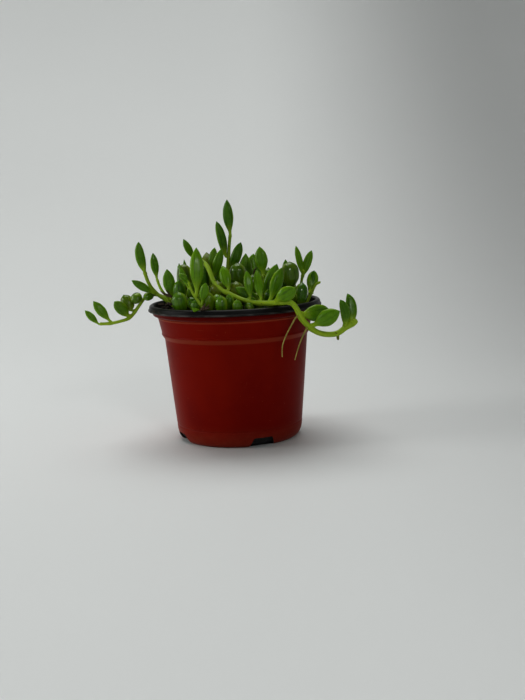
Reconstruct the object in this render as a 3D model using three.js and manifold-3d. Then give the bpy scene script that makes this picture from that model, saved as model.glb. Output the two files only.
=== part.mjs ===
// A young string of watermelons in a small round nursery pot.
// Millimetres, +Z up. The origin is the centre of the pot's flat underside.
// The plant's routes are written from the centre of the lip's top: x, y, and z above the lip.
// The mix fills the pot, every rooted stem stands in a socket of its own in the mix,
// and each leaf or bead starts one clearance away from the stem or mix that carries it.

import * as THREE from 'three';
import { mergeVertices } from 'three/addons/utils/BufferGeometryUtils.js';
import Module from 'manifold-3d';

const wasm = await Module();
wasm.setup();

// ---- Driving dimensions ----

const clearance = 0.3; // gap between pieces that touch in the real thing

const pot = {
  lipRadius: 50, // widest radius, on the rolled lip
  height: 79, // flat underside to the lip's top
  wall: 0.8, // sheet thickness of wall and floor
  lipHeight: 5.4, // lip's underside below its top
  lipWidestBelow: 3.5, // widest line of the lip below its top
  lipTopInset: 1.5, // top's outer edge inside the widest line
  lipTopWidth: 1.9, // flat width of the lip's top
  neckInset: 3.3, // neck under the lip, inside the widest line
  neckHeight: 1.4, // neck's height under the lip
  neckSlope: 0.85, // height of the slope from the band out to the neck
  bandInset: 5.2, // stacking band's top, inside the widest line
  bandDepth: 10.2, // stacking band's height
  bandTaper: 2, // how far the band draws in over its height
  shoulderHeight: 2.8, // sloped shoulder under the band
  shoulderInset: 8.7, // wall's top under the shoulder, inside the widest line
  footInset: 13.4, // wall's bottom above the rounded foot, inside the widest line
  footHeight: 8.7, // height of the rounded foot
  padInset: 18, // flat underside's edge, inside the widest line
};

const notch = {
  count: 4, // drain notches through the corner of wall and floor
  firstAngle: 20.5, // degrees from the front, towards +X
  topWidth: 11,
  bottomWidth: 15,
  height: 5.5,
  depth: 6.5, // how far the notch reaches in from the foot's outside
};

const mix = {
  fillBelowLip: 6, // mix level at the wall, below the lip's top
  moundHeight: 3.2, // how much higher the mix stands in the middle
};

const stemRadius = { thick: 1.35, medium: 1.1, thin: 0.9, fine: 0.45 };

// Routes are drawn for a lip of this radius, and the plant grows with the pot.
const routeLipRadius = 50;
const growth = pot.lipRadius / routeLipRadius;

const detail = {
  turnedSides: 48, // the same on pot and mix, so that their flats lie side by side
  roundSteps: 4, // straight steps of a quarter round on the pot
  moundSteps: 5,
  socketSteps: 6,
  curveSamples: 50, // points tried along a stem to find where it leaves the mix
  stemSides: 8,
  leafSides: 8,
  stemStep: 3.2, // length of a stem's straight steps
};

// ---- The shoots ----
// route: points from the buried end to the growing end.
// Each leaf: at (which route point, fractions between), tip, wide, thick, and form.

const shoots = [
  {
    name: 'tall_shoot',
    radius: stemRadius.medium,
    route: [[-6, 4, -10], [-5, 3, 1], [-4, 2, 11], [-3, 2, 21], [-2, 2, 30], [-1, 2, 38]],
    leaves: [
      { at: 5, tip: [-2, 2, 58], wide: 6.2, thick: 4.2 },
      { at: 3.6, tip: [-8.5, 0, 46], wide: 5.4, thick: 4 },
      { at: 2.7, tip: [5, 0, 33.5], wide: 6, thick: 4.2 },
    ],
  },
  {
    name: 'left_shoot',
    radius: stemRadius.medium,
    route: [[-25, -12, -10], [-32, -14, -2], [-39, -12, 3.5], [-45, -10, 8], [-48.5, -10, 14], [-50, -10, 19.5]],
    leaves: [
      { at: 5, tip: [-52.5, -10, 36.5], wide: 5.4, thick: 3.8 },
      { at: 3, tip: [-57, -16, 15.5], wide: 4.8, thick: 3.4 },
    ],
  },
  {
    name: 'left_trailer',
    radius: stemRadius.thin,
    route: [
      [-24, -5, -10], [-33, -5, -1], [-40, -4, 4], [-46, -4, 6], [-51, -6, 4.5], [-54, -8, 1],
      [-57, -10, -3], [-60, -12, -6], [-65, -13, -7.5], [-71, -13, -8.5], [-77, -13, -8.5],
    ],
    leaves: [
      { at: 10, tip: [-84.5, -13, -0.5], wide: 3.8, thick: 3.2 },
      { at: 9, tip: [-79.5, -13, 4.5], wide: 5.4, thick: 3.6 },
      { at: 7, tip: [-67.5, -15, 4], wide: 6.6, thick: 5 },
      { at: 6, tip: [-64, -6, 8.5], wide: 6.2, thick: 6, form: 'bead' },
    ],
  },
  {
    name: 'inner_left_shoot',
    radius: stemRadius.thin,
    route: [[-24, -19, -10], [-31, -20, -2], [-37, -20, 5], [-41, -20, 11], [-42.5, -20, 16]],
    leaves: [
      { at: 4, tip: [-44, -20, 30.5], wide: 4.6, thick: 3.2 },
      { at: 1.9, tip: [-36.5, -24.5, 21.5], wide: 6.6, thick: 4.6 },
    ],
  },
  {
    name: 'front_left_shoot',
    radius: stemRadius.thin,
    route: [[-12, -34, -10], [-17, -38.5, 0], [-20, -38, 5], [-23, -36.5, 10], [-24.5, -36, 15]],
    leaves: [
      { at: 4, tip: [-29, -38, 19.5], wide: 3.6, thick: 2.8 },
      { at: 2.6, tip: [-19.5, -32.5, 33], wide: 7.6, thick: 5 },
    ],
  },
  {
    name: 'right_trailer',
    radius: stemRadius.thick,
    route: [
      [-20, 8, -10], [-23.5, 5, 4], [-23, 0, 16], [-19, -8, 24], [-15, -14, 22], [-13, -18, 18],
      [-11, -22, 13], [-7, -26, 9], [-1, -30, 6], [5, -34, 3.5], [11, -38, 2.2], [18, -41, 2],
      [24, -43, 2.6], [30, -43.5, 2], [33, -44, -1.5], [35, -44, -6], [39, -43, -11], [44, -40, -15],
      [50, -36, -17], [56, -32, -17], [61, -30, -14], [66, -29.5, -11], [67.5, -29, -6.5],
    ],
    leaves: [
      { at: 9.5, tip: [7, -33, 19.5], wide: 5, thick: 3.8 },
      { at: 10.4, tip: [12.5, -30.5, 19.5], wide: 5.2, thick: 4.2 },
      { at: 7.5, tip: [-6, -22, 22], wide: 6.4, thick: 5 },
      { at: 11.2, tip: [26, -37, 20.5], wide: 7.4, thick: 5 },
      { at: 12.2, tip: [32.5, -49, 10], wide: 8.2, thick: 5.4 },
      { at: 15, tip: [52, -34, -5], wide: 9.2, thick: 6 },
      { at: 16.2, tip: [55.5, -49.5, -3], wide: 8.8, thick: 5.6 },
      { at: 20.4, tip: [57.5, -34, 1.5], wide: 5.6, thick: 3.6 },
      { at: 22, tip: [62.5, -26, 4], wide: 6, thick: 4 },
    ],
  },
  {
    name: 'centre_shoot',
    radius: stemRadius.thin,
    route: [[-12, -8, -10], [-13, -10, 4], [-13.5, -10.5, 12], [-13, -10, 19]],
    leaves: [
      { at: 3, tip: [-10, -9, 31.5], wide: 5, thick: 3.6 },
      { at: 2.3, tip: [-6, -14, 31], wide: 5.4, thick: 3.8 },
      { at: 2.1, tip: [-15, 2, 28.5], wide: 8, thick: 5.4 },
    ],
  },
  {
    name: 'mid_right_shoot',
    radius: stemRadius.thin,
    route: [[13, -24, -10], [15.5, -24, 2], [17, -22, 9], [16.5, -20, 16]],
    leaves: [
      { at: 3, tip: [15, -20, 31.5], wide: 7.2, thick: 4.6 },
      { at: 1, tip: [24, -27.5, 22], wide: 8.2, thick: 5.4 },
    ],
  },
  {
    name: 'right_pair_shoot',
    radius: stemRadius.thin,
    route: [[35, 2, -10], [38, 0, 0], [38.5, -3, 8], [40, -6, 17]],
    leaves: [
      { at: 3, tip: [36, -6.5, 30.5], wide: 4, thick: 3 },
      { at: 2.7, tip: [45, -6, 27.5], wide: 4.8, thick: 3.4 },
    ],
  },
  {
    name: 'right_edge_shoot',
    radius: stemRadius.thin,
    route: [[36, -12, -10], [41.5, -13, 0], [44.5, -13.5, 6], [46.5, -13.5, 9], [49, -13.5, 10]],
    leaves: [
      { at: 1.8, tip: [46, -7.5, 17.5], wide: 6.6, thick: 4.2 },
    ],
  },
  {
    name: 'back_left_shoot',
    radius: stemRadius.thin,
    route: [[-18, 18, -10], [-21, 16, 4], [-22, 12, 15], [-22.5, 8, 24]],
    leaves: [
      { at: 3, tip: [-28, 4, 36.5], wide: 4.4, thick: 3.4 },
    ],
  },
  {
    name: 'back_shoot',
    radius: stemRadius.thin,
    route: [[2, 22, -10], [4, 25, 2], [7, 28, 8], [10, 29, 12.5]],
    leaves: [
      { at: 3, tip: [12.5, 30, 25], wide: 6.2, thick: 4.4 },
    ],
  },
  {
    name: 'back_trailer',
    radius: stemRadius.medium,
    route: [
      [12, 18, -10], [16, 26, 1], [19, 35, 5], [21, 43, 5.5], [23, 49, 3.5], [25, 53, -1.5],
      [26, 54, -8], [25, 53, -15], [22, 52, -21], [17, 52, -25],
    ],
    leaves: [
      { at: 9, tip: [6, 53, -25], wide: 5.6, thick: 4.2 },
      { at: 7.4, tip: [15, 58, -12], wide: 7.4, thick: 6 },
    ],
  },
];

// Beads that stand on the mix: base, tip, wide, thick, and form where it has a stalk.
const beads = [
  { name: 'bead_front_left', base: [-29, -28, -3.4], tip: [-31, -31, 9.5], wide: 8.6, thick: 8.4 },
  { name: 'bead_front_olive', base: [-13.5, -34.5, -3], tip: [-14.5, -38, 9.5], wide: 6.6, thick: 6.4 },
  { name: 'bead_front_striped', base: [-7, -39.5, -3.6], tip: [-7.5, -42, 7.5], wide: 6.8, thick: 6.6 },
  { name: 'bead_front_pointed', base: [1.5, -41, -4.6], tip: [1, -42.8, 5], wide: 5.4, thick: 5.2 },
  { name: 'bead_middle', base: [4, -12, -1.4], tip: [2, -13, 23.5], wide: 9.4, thick: 9, form: 'stalked' },
  { name: 'bead_left_dome', base: [-27, -9.5, -2.3], tip: [-28, -8, 23], wide: 8.4, thick: 8, form: 'stalked' },
  { name: 'bead_right_big', base: [32.5, -17, -1.6], tip: [31, -16, 24.5], wide: 10.4, thick: 8.6, form: 'stalked' },
  { name: 'bead_right_dark', base: [36, -21.5, -3.2], tip: [38, -20.5, 11], wide: 7.4, thick: 7 },
  { name: 'bead_back_right', base: [32, 20, -3.2], tip: [34, 24, 9], wide: 8.4, thick: 8 },
];

// Thin roots that hang in the air under the right trailer.
const airRoots = [
  { name: 'air_root_near', route: [[32, -46, -6], [29.5, -46.2, -10], [26.5, -46.2, -15.5], [24.5, -45.4, -21], [24.2, -44.6, -27]] },
  { name: 'air_root_far', route: [[37.2, -45.2, -13], [34.5, -45, -18.5], [32.5, -44.6, -24], [31, -44, -29]] },
];

// ---- Colours ----

const finish = {
  pot: { color: 0x8a2a1c, roughness: 0.45, metalness: 0 },
  mix: { color: 0x1c1512, roughness: 1, metalness: 0 },
  stem: { color: 0x7fa03a, roughness: 0.45, metalness: 0 },
  leaf: { color: 0x4f7f1c, roughness: 0.35, metalness: 0 },
  bead: { color: 0x5a7428, roughness: 0.3, metalness: 0 },
  root: { color: 0xb7a36a, roughness: 0.7, metalness: 0 },
};

// ---- Helpers ----

const group = new THREE.Group();

function addPiece(name, geometry, look) {
  const mesh = new THREE.Mesh(geometry, new THREE.MeshStandardMaterial(look));
  mesh.name = name;
  group.add(mesh);
}

// A point of the plant, from the route's own numbers to the part's frame.
function plantPoint([x, y, z]) {
  return new THREE.Vector3(x * growth, y * growth, pot.height + z * growth);
}

function toSolid(geometry) {
  const bare = geometry.clone();
  bare.deleteAttribute('normal');
  bare.deleteAttribute('uv');
  const merged = mergeVertices(bare, 1e-4);
  return new wasm.Manifold(new wasm.Mesh({
    numProp: 3,
    vertProperties: new Float32Array(merged.attributes.position.array),
    triVerts: new Uint32Array(merged.index.array),
  }));
}

function toGeometry(solid) {
  const made = solid.getMesh();
  const geometry = new THREE.BufferGeometry();
  geometry.setAttribute('position', new THREE.BufferAttribute(new Float32Array(made.vertProperties), 3));
  geometry.setIndex(new THREE.BufferAttribute(new Uint32Array(made.triVerts), 1));
  geometry.computeVertexNormals();
  return geometry;
}

// A body of revolution about +Z from [radius, height] pairs.
function turned(profile, sides) {
  const points = profile.map(([radius, height]) => new THREE.Vector2(radius, height));
  return new THREE.LatheGeometry(points, sides).rotateX(Math.PI / 2);
}

// A round bar of the given radius along a curve, closed at both ends.
function barAlong(curve, radius, steps) {
  const section = new THREE.Shape();
  section.absarc(0, 0, radius, 0, 2 * Math.PI);
  return new THREE.ExtrudeGeometry(section, {
    steps,
    curveSegments: detail.stemSides / 2, // counted on each half of the section
    bevelEnabled: false,
    extrudePath: curve,
  });
}

// ---- Pot ----

const bandTop = pot.height - pot.lipHeight - pot.neckHeight;
const bandBottom = bandTop - pot.bandDepth;
const shoulderBottom = bandBottom - pot.shoulderHeight;
const lipInnerRadius = pot.lipRadius - pot.lipTopInset - pot.lipTopWidth;
const padRadius = pot.lipRadius - pot.padInset;
const footRadius = pot.lipRadius - pot.footInset;

// A quarter round from a level start to an upright end, as [radius, height] pairs.
function quarterRound([r0, z0], [r1, z1]) {
  const points = [];
  for (let i = 0; i <= detail.roundSteps; i += 1) {
    const turn = (i / detail.roundSteps) * (Math.PI / 2);
    points.push([r0 + (r1 - r0) * Math.sin(turn), z0 + (z1 - z0) * (1 - Math.cos(turn))]);
  }
  return points;
}

// Outside of the pot from the flat underside up to the neck, as [radius, height].
function outsideProfile() {
  return [
    ...quarterRound([padRadius, 0], [footRadius, pot.footHeight]),
    [pot.lipRadius - pot.shoulderInset, shoulderBottom],
    [pot.lipRadius - pot.bandInset - pot.bandTaper, bandBottom],
    [pot.lipRadius - pot.bandInset, bandTop],
    [pot.lipRadius - pot.neckInset, bandTop + pot.neckSlope],
    [pot.lipRadius - pot.neckInset, bandTop + pot.neckHeight],
  ];
}

// The same line one sheet thickness in and up, no wider than the mouth inside the lip.
function insideProfile() {
  return outsideProfile().map(([radius, height]) => [
    Math.min(radius, lipInnerRadius + pot.wall) - pot.wall,
    height + pot.wall,
  ]);
}

function makePot() {
  const lipTop = [pot.lipRadius - pot.lipTopInset, pot.height];
  const lipWidest = [pot.lipRadius, pot.height - pot.lipWidestBelow];
  const lip = [...quarterRound(lipTop, lipWidest).reverse(), [lipInnerRadius, pot.height]];
  const inside = insideProfile().reverse();
  const profile = [[0, 0], ...outsideProfile(), ...lip, ...inside, [0, pot.wall]];
  let solid = toSolid(turned(profile, detail.turnedSides));
  for (let i = 0; i < notch.count; i += 1) {
    solid = solid.subtract(toSolid(notchCutter(i)));
  }
  return toGeometry(solid);
}

// A block with sloped ends that reaches in from outside the foot.
function notchCutter(index) {
  const below = 1;
  const outline = new THREE.Shape();
  outline.moveTo(-notch.bottomWidth / 2, -below);
  outline.lineTo(notch.bottomWidth / 2, -below);
  outline.lineTo(notch.topWidth / 2, notch.height);
  outline.lineTo(-notch.topWidth / 2, notch.height);
  outline.closePath();
  const outside = 2;
  const block = new THREE.ExtrudeGeometry(outline, { depth: notch.depth + outside, bevelEnabled: false });
  const angle = THREE.MathUtils.degToRad(notch.firstAngle) + (index * 2 * Math.PI) / notch.count;
  return block
    .rotateX(Math.PI / 2)
    .translate(0, -(footRadius - notch.depth), 0)
    .rotateZ(angle);
}

// ---- Potting mix ----

// The pot's inside radius at a height, read off the inside profile.
function insideRadius(height) {
  const line = insideProfile();
  const last = line.findIndex(([, z]) => z >= height);
  if (last <= 0) {
    return line[0][0];
  }
  const [r0, z0] = line[last - 1];
  const [r1, z1] = line[last];
  return r0 + ((r1 - r0) * (height - z0)) / (z1 - z0);
}

function makeMix(rooted) {
  const floor = pot.wall + clearance;
  const level = pot.height - mix.fillBelowLip;
  const side = insideProfile()
    .filter(([, height]) => height > floor + clearance && height < level)
    .map(([radius, height]) => [radius - clearance, height]);
  const mound = [];
  for (let i = 0; i <= detail.moundSteps; i += 1) {
    const share = i / detail.moundSteps;
    const radius = (insideRadius(level) - clearance) * (1 - share);
    mound.push([radius, level + mix.moundHeight * Math.sin((share * Math.PI) / 2)]);
  }
  const profile = [[0, floor], [padRadius - pot.wall - clearance, floor], ...side, ...mound];
  let solid = toSolid(turned(profile, detail.turnedSides));
  for (const shoot of rooted) {
    solid = solid.subtract(toSolid(socketFor(shoot)));
  }
  return toGeometry(solid);
}

// A socket one clearance wider than the stem, along the stem's own curve to just above the mix.
function socketFor({ curve, radius }) {
  const top = pot.height - mix.fillBelowLip + mix.moundHeight + 2 * radius;
  const points = [];
  const tangent = curve.getTangent(0);
  points.push(curve.getPoint(0).addScaledVector(tangent, -clearance));
  for (const point of curve.getPoints(detail.curveSamples).slice(1)) {
    points.push(point);
    if (point.z > top) {
      break;
    }
  }
  return barAlong(new THREE.CatmullRomCurve3(points), radius + clearance, detail.socketSteps);
}

// ---- Stems, leaves, beads ----

function makeStem({ curve, radius }) {
  const steps = Math.max(4, Math.round(curve.getLength() / (detail.stemStep * growth)));
  return barAlong(curve, radius, steps);
}

// Share of the greatest half width along a blade, from its base (0) to its tip (1).
const outlines = {
  leaf: [[0, 0], [0.01, 0.14], [0.1, 0.2], [0.25, 0.66], [0.42, 0.97], [0.58, 1], [0.74, 0.82], [0.88, 0.46], [1, 0]],
  bead: [[0, 0], [0.02, 0.16], [0.1, 0.5], [0.25, 0.84], [0.45, 1], [0.62, 0.97], [0.78, 0.76], [0.9, 0.44], [1, 0]],
  stalked: [[0, 0], [0.01, 0.18], [0.38, 0.2], [0.46, 0.56], [0.58, 0.92], [0.72, 1], [0.85, 0.8], [0.94, 0.44], [1, 0]],
};

// A closed blade from base to tip, its flat side turned to face along y.
function makeBlade(base, tip, wide, thick, form) {
  const span = new THREE.Vector3().subVectors(tip, base);
  const length = span.length();
  const along = span.normalize();
  const facing = new THREE.Vector3(0, -1, 0);
  facing.addScaledVector(along, -facing.dot(along)).normalize();
  const across = new THREE.Vector3().crossVectors(along, facing);
  const points = outlines[form].map(([share, half]) => new THREE.Vector2(half / 2, share));
  const blade = new THREE.LatheGeometry(points, detail.leafSides);
  blade.scale(wide, length, thick);
  const turn = new THREE.Matrix4().makeBasis(across, along, facing);
  blade.applyMatrix4(turn.setPosition(base));
  return blade;
}

// Where a leaf leaves its stem: its foot one clearance off the stem, on the side its tip is on.
function leafBase({ curve, radius, route }, { at, wide }, tip) {
  const share = at / (route.length - 1);
  const point = curve.getPoint(share);
  const tangent = curve.getTangent(share);
  if (share >= 1) {
    return point.addScaledVector(tangent, clearance);
  }
  const side = new THREE.Vector3().subVectors(tip, point);
  side.addScaledVector(tangent, -side.dot(tangent)).normalize();
  const leafFoot = (wide * growth * outlines.leaf[2][1]) / 2;
  return point.addScaledVector(side, radius + clearance + leafFoot);
}

// ---- Assembly ----

for (const shoot of shoots) {
  shoot.curve = new THREE.CatmullRomCurve3(shoot.route.map(plantPoint), false, 'centripetal');
  shoot.radius *= growth;
}

addPiece('pot', makePot(), finish.pot);
addPiece('potting_mix', makeMix(shoots), finish.mix);

for (const shoot of shoots) {
  addPiece(`${shoot.name}_stem`, makeStem(shoot), finish.stem);
  shoot.leaves.forEach((leaf, index) => {
    const tip = plantPoint(leaf.tip);
    const base = leafBase(shoot, leaf, tip);
    const form = leaf.form || 'leaf';
    const blade = makeBlade(base, tip, leaf.wide * growth, leaf.thick * growth, form);
    addPiece(`${shoot.name}_leaf_${index + 1}`, blade, finish.leaf);
  });
}

for (const bead of beads) {
  const base = plantPoint(bead.base);
  const tip = plantPoint(bead.tip);
  const form = bead.form || 'bead';
  addPiece(bead.name, makeBlade(base, tip, bead.wide * growth, bead.thick * growth, form), finish.bead);
}

for (const root of airRoots) {
  const curve = new THREE.CatmullRomCurve3(root.route.map(plantPoint));
  addPiece(root.name, makeStem({ curve, radius: stemRadius.fine * growth }), finish.root);
}

export default group;
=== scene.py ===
"""A young string of watermelons in a round nursery pot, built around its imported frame.

Run as a script it builds every piece in order. Sizes are metres, +Z up, and the origin is the
centre of the pot's flat underside. Stems, leaves and beads take their places from the frame.
"""

import math
import random

import bpy
import numpy as np
from bpy.props import FloatProperty, FloatVectorProperty, IntProperty, PointerProperty
from mathutils import Matrix, Vector, noise


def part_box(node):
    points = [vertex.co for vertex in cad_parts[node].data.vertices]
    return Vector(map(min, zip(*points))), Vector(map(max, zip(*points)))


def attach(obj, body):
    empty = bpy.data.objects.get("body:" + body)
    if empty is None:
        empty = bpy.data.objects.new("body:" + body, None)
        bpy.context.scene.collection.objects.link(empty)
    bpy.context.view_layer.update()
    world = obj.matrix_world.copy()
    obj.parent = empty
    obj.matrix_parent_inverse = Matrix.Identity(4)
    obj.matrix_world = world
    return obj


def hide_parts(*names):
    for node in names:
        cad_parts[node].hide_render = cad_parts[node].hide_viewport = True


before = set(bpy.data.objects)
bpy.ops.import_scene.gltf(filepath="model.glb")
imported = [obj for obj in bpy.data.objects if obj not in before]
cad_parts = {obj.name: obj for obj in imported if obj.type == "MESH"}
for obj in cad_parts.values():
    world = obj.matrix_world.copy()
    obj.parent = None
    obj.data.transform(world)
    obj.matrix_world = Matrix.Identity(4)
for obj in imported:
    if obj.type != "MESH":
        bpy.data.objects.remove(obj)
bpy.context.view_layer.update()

bl_info = {
    "name": "Potted String of Watermelons",
    "version": (1, 0, 0),
    "blender": (4, 5, 0),
    "location": "3D View > Sidebar > Plant",
    "description": "Builds a young string of watermelons in a round nursery pot",
    "category": "Object",
}

MM = 0.001
POT_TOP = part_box("pot")[1]
LIP_TOP = POT_TOP.z
MIX_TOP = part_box("potting_mix")[1]
RING_SIDES = 8  # corners around a stem of the frame
END_REACH = 4.4 * MM  # reaches the next ring of a stem's corners, and not the one after it
CURVE_STEPS = 12  # points tried between two given points of a smooth curve
STEM_ROW = 0.6 * MM  # from one point of a frame stem's smooth line to the next
TRAILER_TRIM = 6  # points left off the end of the right trailer, where its last leaf starts
POT_EDGE = math.radians(38)  # sharp edges of the pot after its notches are cut
GRAIN_EDGE = math.radians(30)  # sharp edges of the loose grains
POT_SEGMENTS = 192  # sides round the pot
MIX_SEGMENTS = 160  # sides round the mix
MIX_RINGS = 44  # rings from the mix's rim to its middle
FLOOR_SEGMENTS = 96  # sides round the floor and backdrop
FLOOR_STEPS = 48  # rings in the bend from floor to backdrop
SENSOR_WIDTH = 36.0  # the camera's, in millimetres
RUNNERS = 18  # bead strings on the mix
LOOSE_CHIPS = 16  # bigger chips on the mix at the front left
SHOOT_SPACING = 9.5 * MM  # between two young shoots, before each is moved a little
SHOOT_ROWS = range(-5, 6)  # rows and columns of young shoots, with the middle of the pot as 0


# ---- Properties ----


def size(name, description, default):
    """A length that a user can change."""
    return FloatProperty(
        name=name, description=description, default=default, min=0.0, precision=5,
        subtype="DISTANCE", unit="LENGTH",
    )


def angle(name, description, degrees):
    """An angle that a user can change."""
    return FloatProperty(
        name=name, description=description, default=math.radians(degrees), subtype="ANGLE",
        unit="ROTATION",
    )


def colour(name, description, default):
    """A colour that a user can change."""
    return FloatVectorProperty(
        name=name, description=description, default=default, size=3, min=0.0, max=1.0,
        subtype="COLOR",
    )


class PotSettings(bpy.types.PropertyGroup):
    """Sizes and colours of the nursery pot."""

    lip_radius: size("Lip radius", "Widest radius, on the rolled lip", POT_TOP.x)
    height: size("Height", "From the flat underside to the lip's top", LIP_TOP)
    wall: size("Wall", "Thickness of the formed sheet", 0.8 * MM)
    mouth_inset: size("Mouth inset", "Mouth's edge inside the widest line", 3.4 * MM)
    neck_inset: size("Neck inset", "Neck under the lip, inside the widest line", 3.3 * MM)
    band_inset: size("Band inset", "Stacking band's top, inside the widest line", 5.2 * MM)
    band_top: size("Band top", "Stacking band's top below the lip's top", 6.8 * MM)
    band_depth: size("Band depth", "Height of the stacking band", 10.2 * MM)
    band_taper: size("Band taper", "How far the band draws in over its height", 2.0 * MM)
    shoulder_height: size("Shoulder height", "Sloped shoulder under the band", 2.8 * MM)
    shoulder_inset: size("Shoulder inset", "Wall's top, inside the widest line", 8.7 * MM)
    foot_inset: size("Foot inset", "Wall's bottom, inside the widest line", 13.4 * MM)
    foot_height: size("Foot height", "Height of the rounded foot", 8.7 * MM)
    pad_inset: size("Pad inset", "Flat underside's edge, inside the widest line", 18.0 * MM)
    notch_count: IntProperty(
        name="Notches", description="Drain notches round the foot", default=4, min=0, max=8,
    )
    notch_angle: angle("Notch angle", "First notch, from the front towards +X", 20.5)
    notch_top: size("Notch top", "Width of a notch at its top", 11.0 * MM)
    notch_bottom: size("Notch bottom", "Width of a notch at the floor", 15.0 * MM)
    notch_height: size("Notch height", "Height of a notch", 5.5 * MM)
    notch_depth: size("Notch depth", "How far a notch reaches in", 6.5 * MM)
    red: colour("Red", "Outside of the pot", (0.190, 0.0052, 0.0004))
    deep_red: colour("Deep red", "Darker patches of the outside", (0.155, 0.0025, 0.0003))
    scuffed: colour("Scuffed", "Scuffs and rubbed edges", (0.290, 0.070, 0.035))
    # painted light: colour of a painted highlight on the band's crest and of painted floor light on
    # its shoulder
    painted_band_light: colour("Rubbed", "Rubbed crest and shoulder of the band", (0.265, 0.050, 0.018))
    black: colour("Black", "Lip and inside of the pot", (0.0030, 0.0030, 0.0028))


class MixSettings(bpy.types.PropertyGroup):
    """Sizes and colours of the potting mix."""

    below_lip: size("Below lip", "Mix level at the wall, below the lip's top", 6.0 * MM)
    gap: size("Gap", "Gap between the mix and the pot", 0.3 * MM)
    lumps: size("Lumps", "Height of the lumps in the surface", 1.1 * MM)
    grains: IntProperty(
        name="Grains", description="Loose grains on the surface", default=1300, min=0,
    )
    peat: colour("Peat", "Damp peat", (0.010, 0.006, 0.004))
    fibre: colour("Fibre", "Dry fibres in the peat", (0.060, 0.034, 0.019))


class PlantSettings(bpy.types.PropertyGroup):
    """Mesh detail and colours of stems, leaves, beads and roots."""

    leaf_sides: IntProperty(
        name="Leaf sides", description="Corners around a leaf", default=24, min=8,
    )
    leaf_step: size("Leaf step", "Length between two rows of a leaf's mesh", 0.42 * MM)
    stem_sides: IntProperty(
        name="Stem sides", description="Corners around a stem", default=16, min=6,
    )
    stem_step: size("Stem step", "Length between two rows of a stem's mesh", 0.6 * MM)
    dark_green: colour("Dark green", "Deepest leaf colour", (0.026, 0.105, 0.0012))
    bright_green: colour("Bright green", "Lightest leaf colour", (0.145, 0.300, 0.0050))
    lime: colour("Lime", "Stems and the feet of leaves", (0.330, 0.460, 0.0220))
    olive: colour("Olive", "Sun-tinted leaves and beads", (0.150, 0.155, 0.0040))
    root: colour("Root", "Air roots", (0.340, 0.300, 0.060))
    dry: colour("Dry", "Dried bits and scars", (0.085, 0.048, 0.014))


class StageSettings(bpy.types.PropertyGroup):
    """Camera, floor and lights."""

    distance: size("Distance", "Camera in front of the pot's centre", 0.5761)
    eye_height: size("Eye height", "Camera above the floor", 0.1366)
    yaw: angle("Yaw", "Camera turned towards +X", 1.48)
    pitch: angle("Pitch", "Camera turned down", 8.59)
    roll: angle("Roll", "Camera turned clockwise about its own line of sight", -2.31)
    lens: FloatProperty(
        name="Lens", description="Focal length", default=51.43, subtype="DISTANCE_CAMERA",
    )
    bowl_radius: size("Bowl radius", "Where the floor starts to curve up", 0.33)
    bowl_curve: size("Bowl curve", "Radius of the curve up to the backdrop", 1.25)
    paper: colour("Paper", "Floor and backdrop", (0.70, 0.715, 0.705))
    left_power: FloatProperty(
        name="Left light", description="Power of the left light", default=2.8, unit="POWER",
    )
    front_power: FloatProperty(
        name="Front light", description="Power of the front light", default=1.7, unit="POWER",
    )
    top_power: FloatProperty(
        name="Top light", description="Power of the top light", default=16.5, unit="POWER",
    )
    world: FloatProperty(name="Sky", description="Strength of the sky", default=0.10, min=0.0)


# ---- Reading the frame ----


def corner_points(name):
    """Corner points of a frame node, each of them once."""
    return np.unique([tuple(v.co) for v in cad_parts[name].data.vertices], axis=0)


def stem_line(name):
    """Centre points and radius of a frame stem, from its lower or inner end to its far end.

    It takes one ring of corners after another, each the nearest ones that are left.
    """
    left = corner_points(name)
    centre = stem_end(left)
    line, radius = [], 0.0
    while len(left):
        order = np.argsort(np.linalg.norm(left - centre, axis=1))
        ring, left = left[order[:RING_SIDES]], left[order[RING_SIDES:]]
        centre = ring.mean(axis=0)
        line.append(centre)
        radius = np.linalg.norm(ring - centre, axis=1).mean()
    line = np.array(line)
    heart = np.array((0.0, 0.0, LIP_TOP))
    if np.linalg.norm(line[0] - heart) > np.linalg.norm(line[-1] - heart):
        line = line[::-1]
    return line, radius


def stem_end(points):
    """A corner at one end of a stem: the one with the fewest others near it."""
    gaps = np.linalg.norm(points[:, None] - points[None, :], axis=2)
    crowd = (gaps < END_REACH).sum(axis=1) + gaps.mean(axis=1)
    lonely = np.flatnonzero(crowd < crowd.min() + 1)
    return points[lonely[gaps[lonely].mean(axis=1).argmax()]]


def blade_ends(name):
    """Both ends of a frame leaf or bead, lower end first, and its points."""
    points = corner_points(name)
    gaps = np.linalg.norm(points[:, None] - points[None, :], axis=2)
    first, second = np.unravel_index(gaps.argmax(), gaps.shape)
    low, high = sorted((points[first], points[second]), key=lambda point: point[2])
    return low, high, points


# ---- Curves and meshes ----


def unit(vectors):
    """Vectors at length one."""
    return vectors / np.linalg.norm(vectors, axis=-1, keepdims=True)


def smooth_path(points, step):
    """Evenly spaced points along a smooth curve through the given ones."""
    points = np.asarray(points, float)
    padded = np.vstack([2 * points[0] - points[1], points, 2 * points[-1] - points[-2]])
    s = np.linspace(0.0, 1.0, CURVE_STEPS, endpoint=False)[:, None]
    fine = [
        0.5 * (2 * b + (c - a) * s + (2 * a - 5 * b + 4 * c - d) * s**2
               + (3 * b - a - 3 * c + d) * s**3)
        for a, b, c, d in zip(padded, padded[1:], padded[2:], padded[3:])
    ]
    fine = np.vstack([*fine, points[-1:]])
    run = np.concatenate([[0.0], np.cumsum(np.linalg.norm(np.diff(fine, axis=0), axis=1))])
    count = max(3, round(run[-1] / step) + 1)
    at = np.linspace(0.0, run[-1], count)
    return np.column_stack([np.interp(at, run, column) for column in fine.T])


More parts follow.
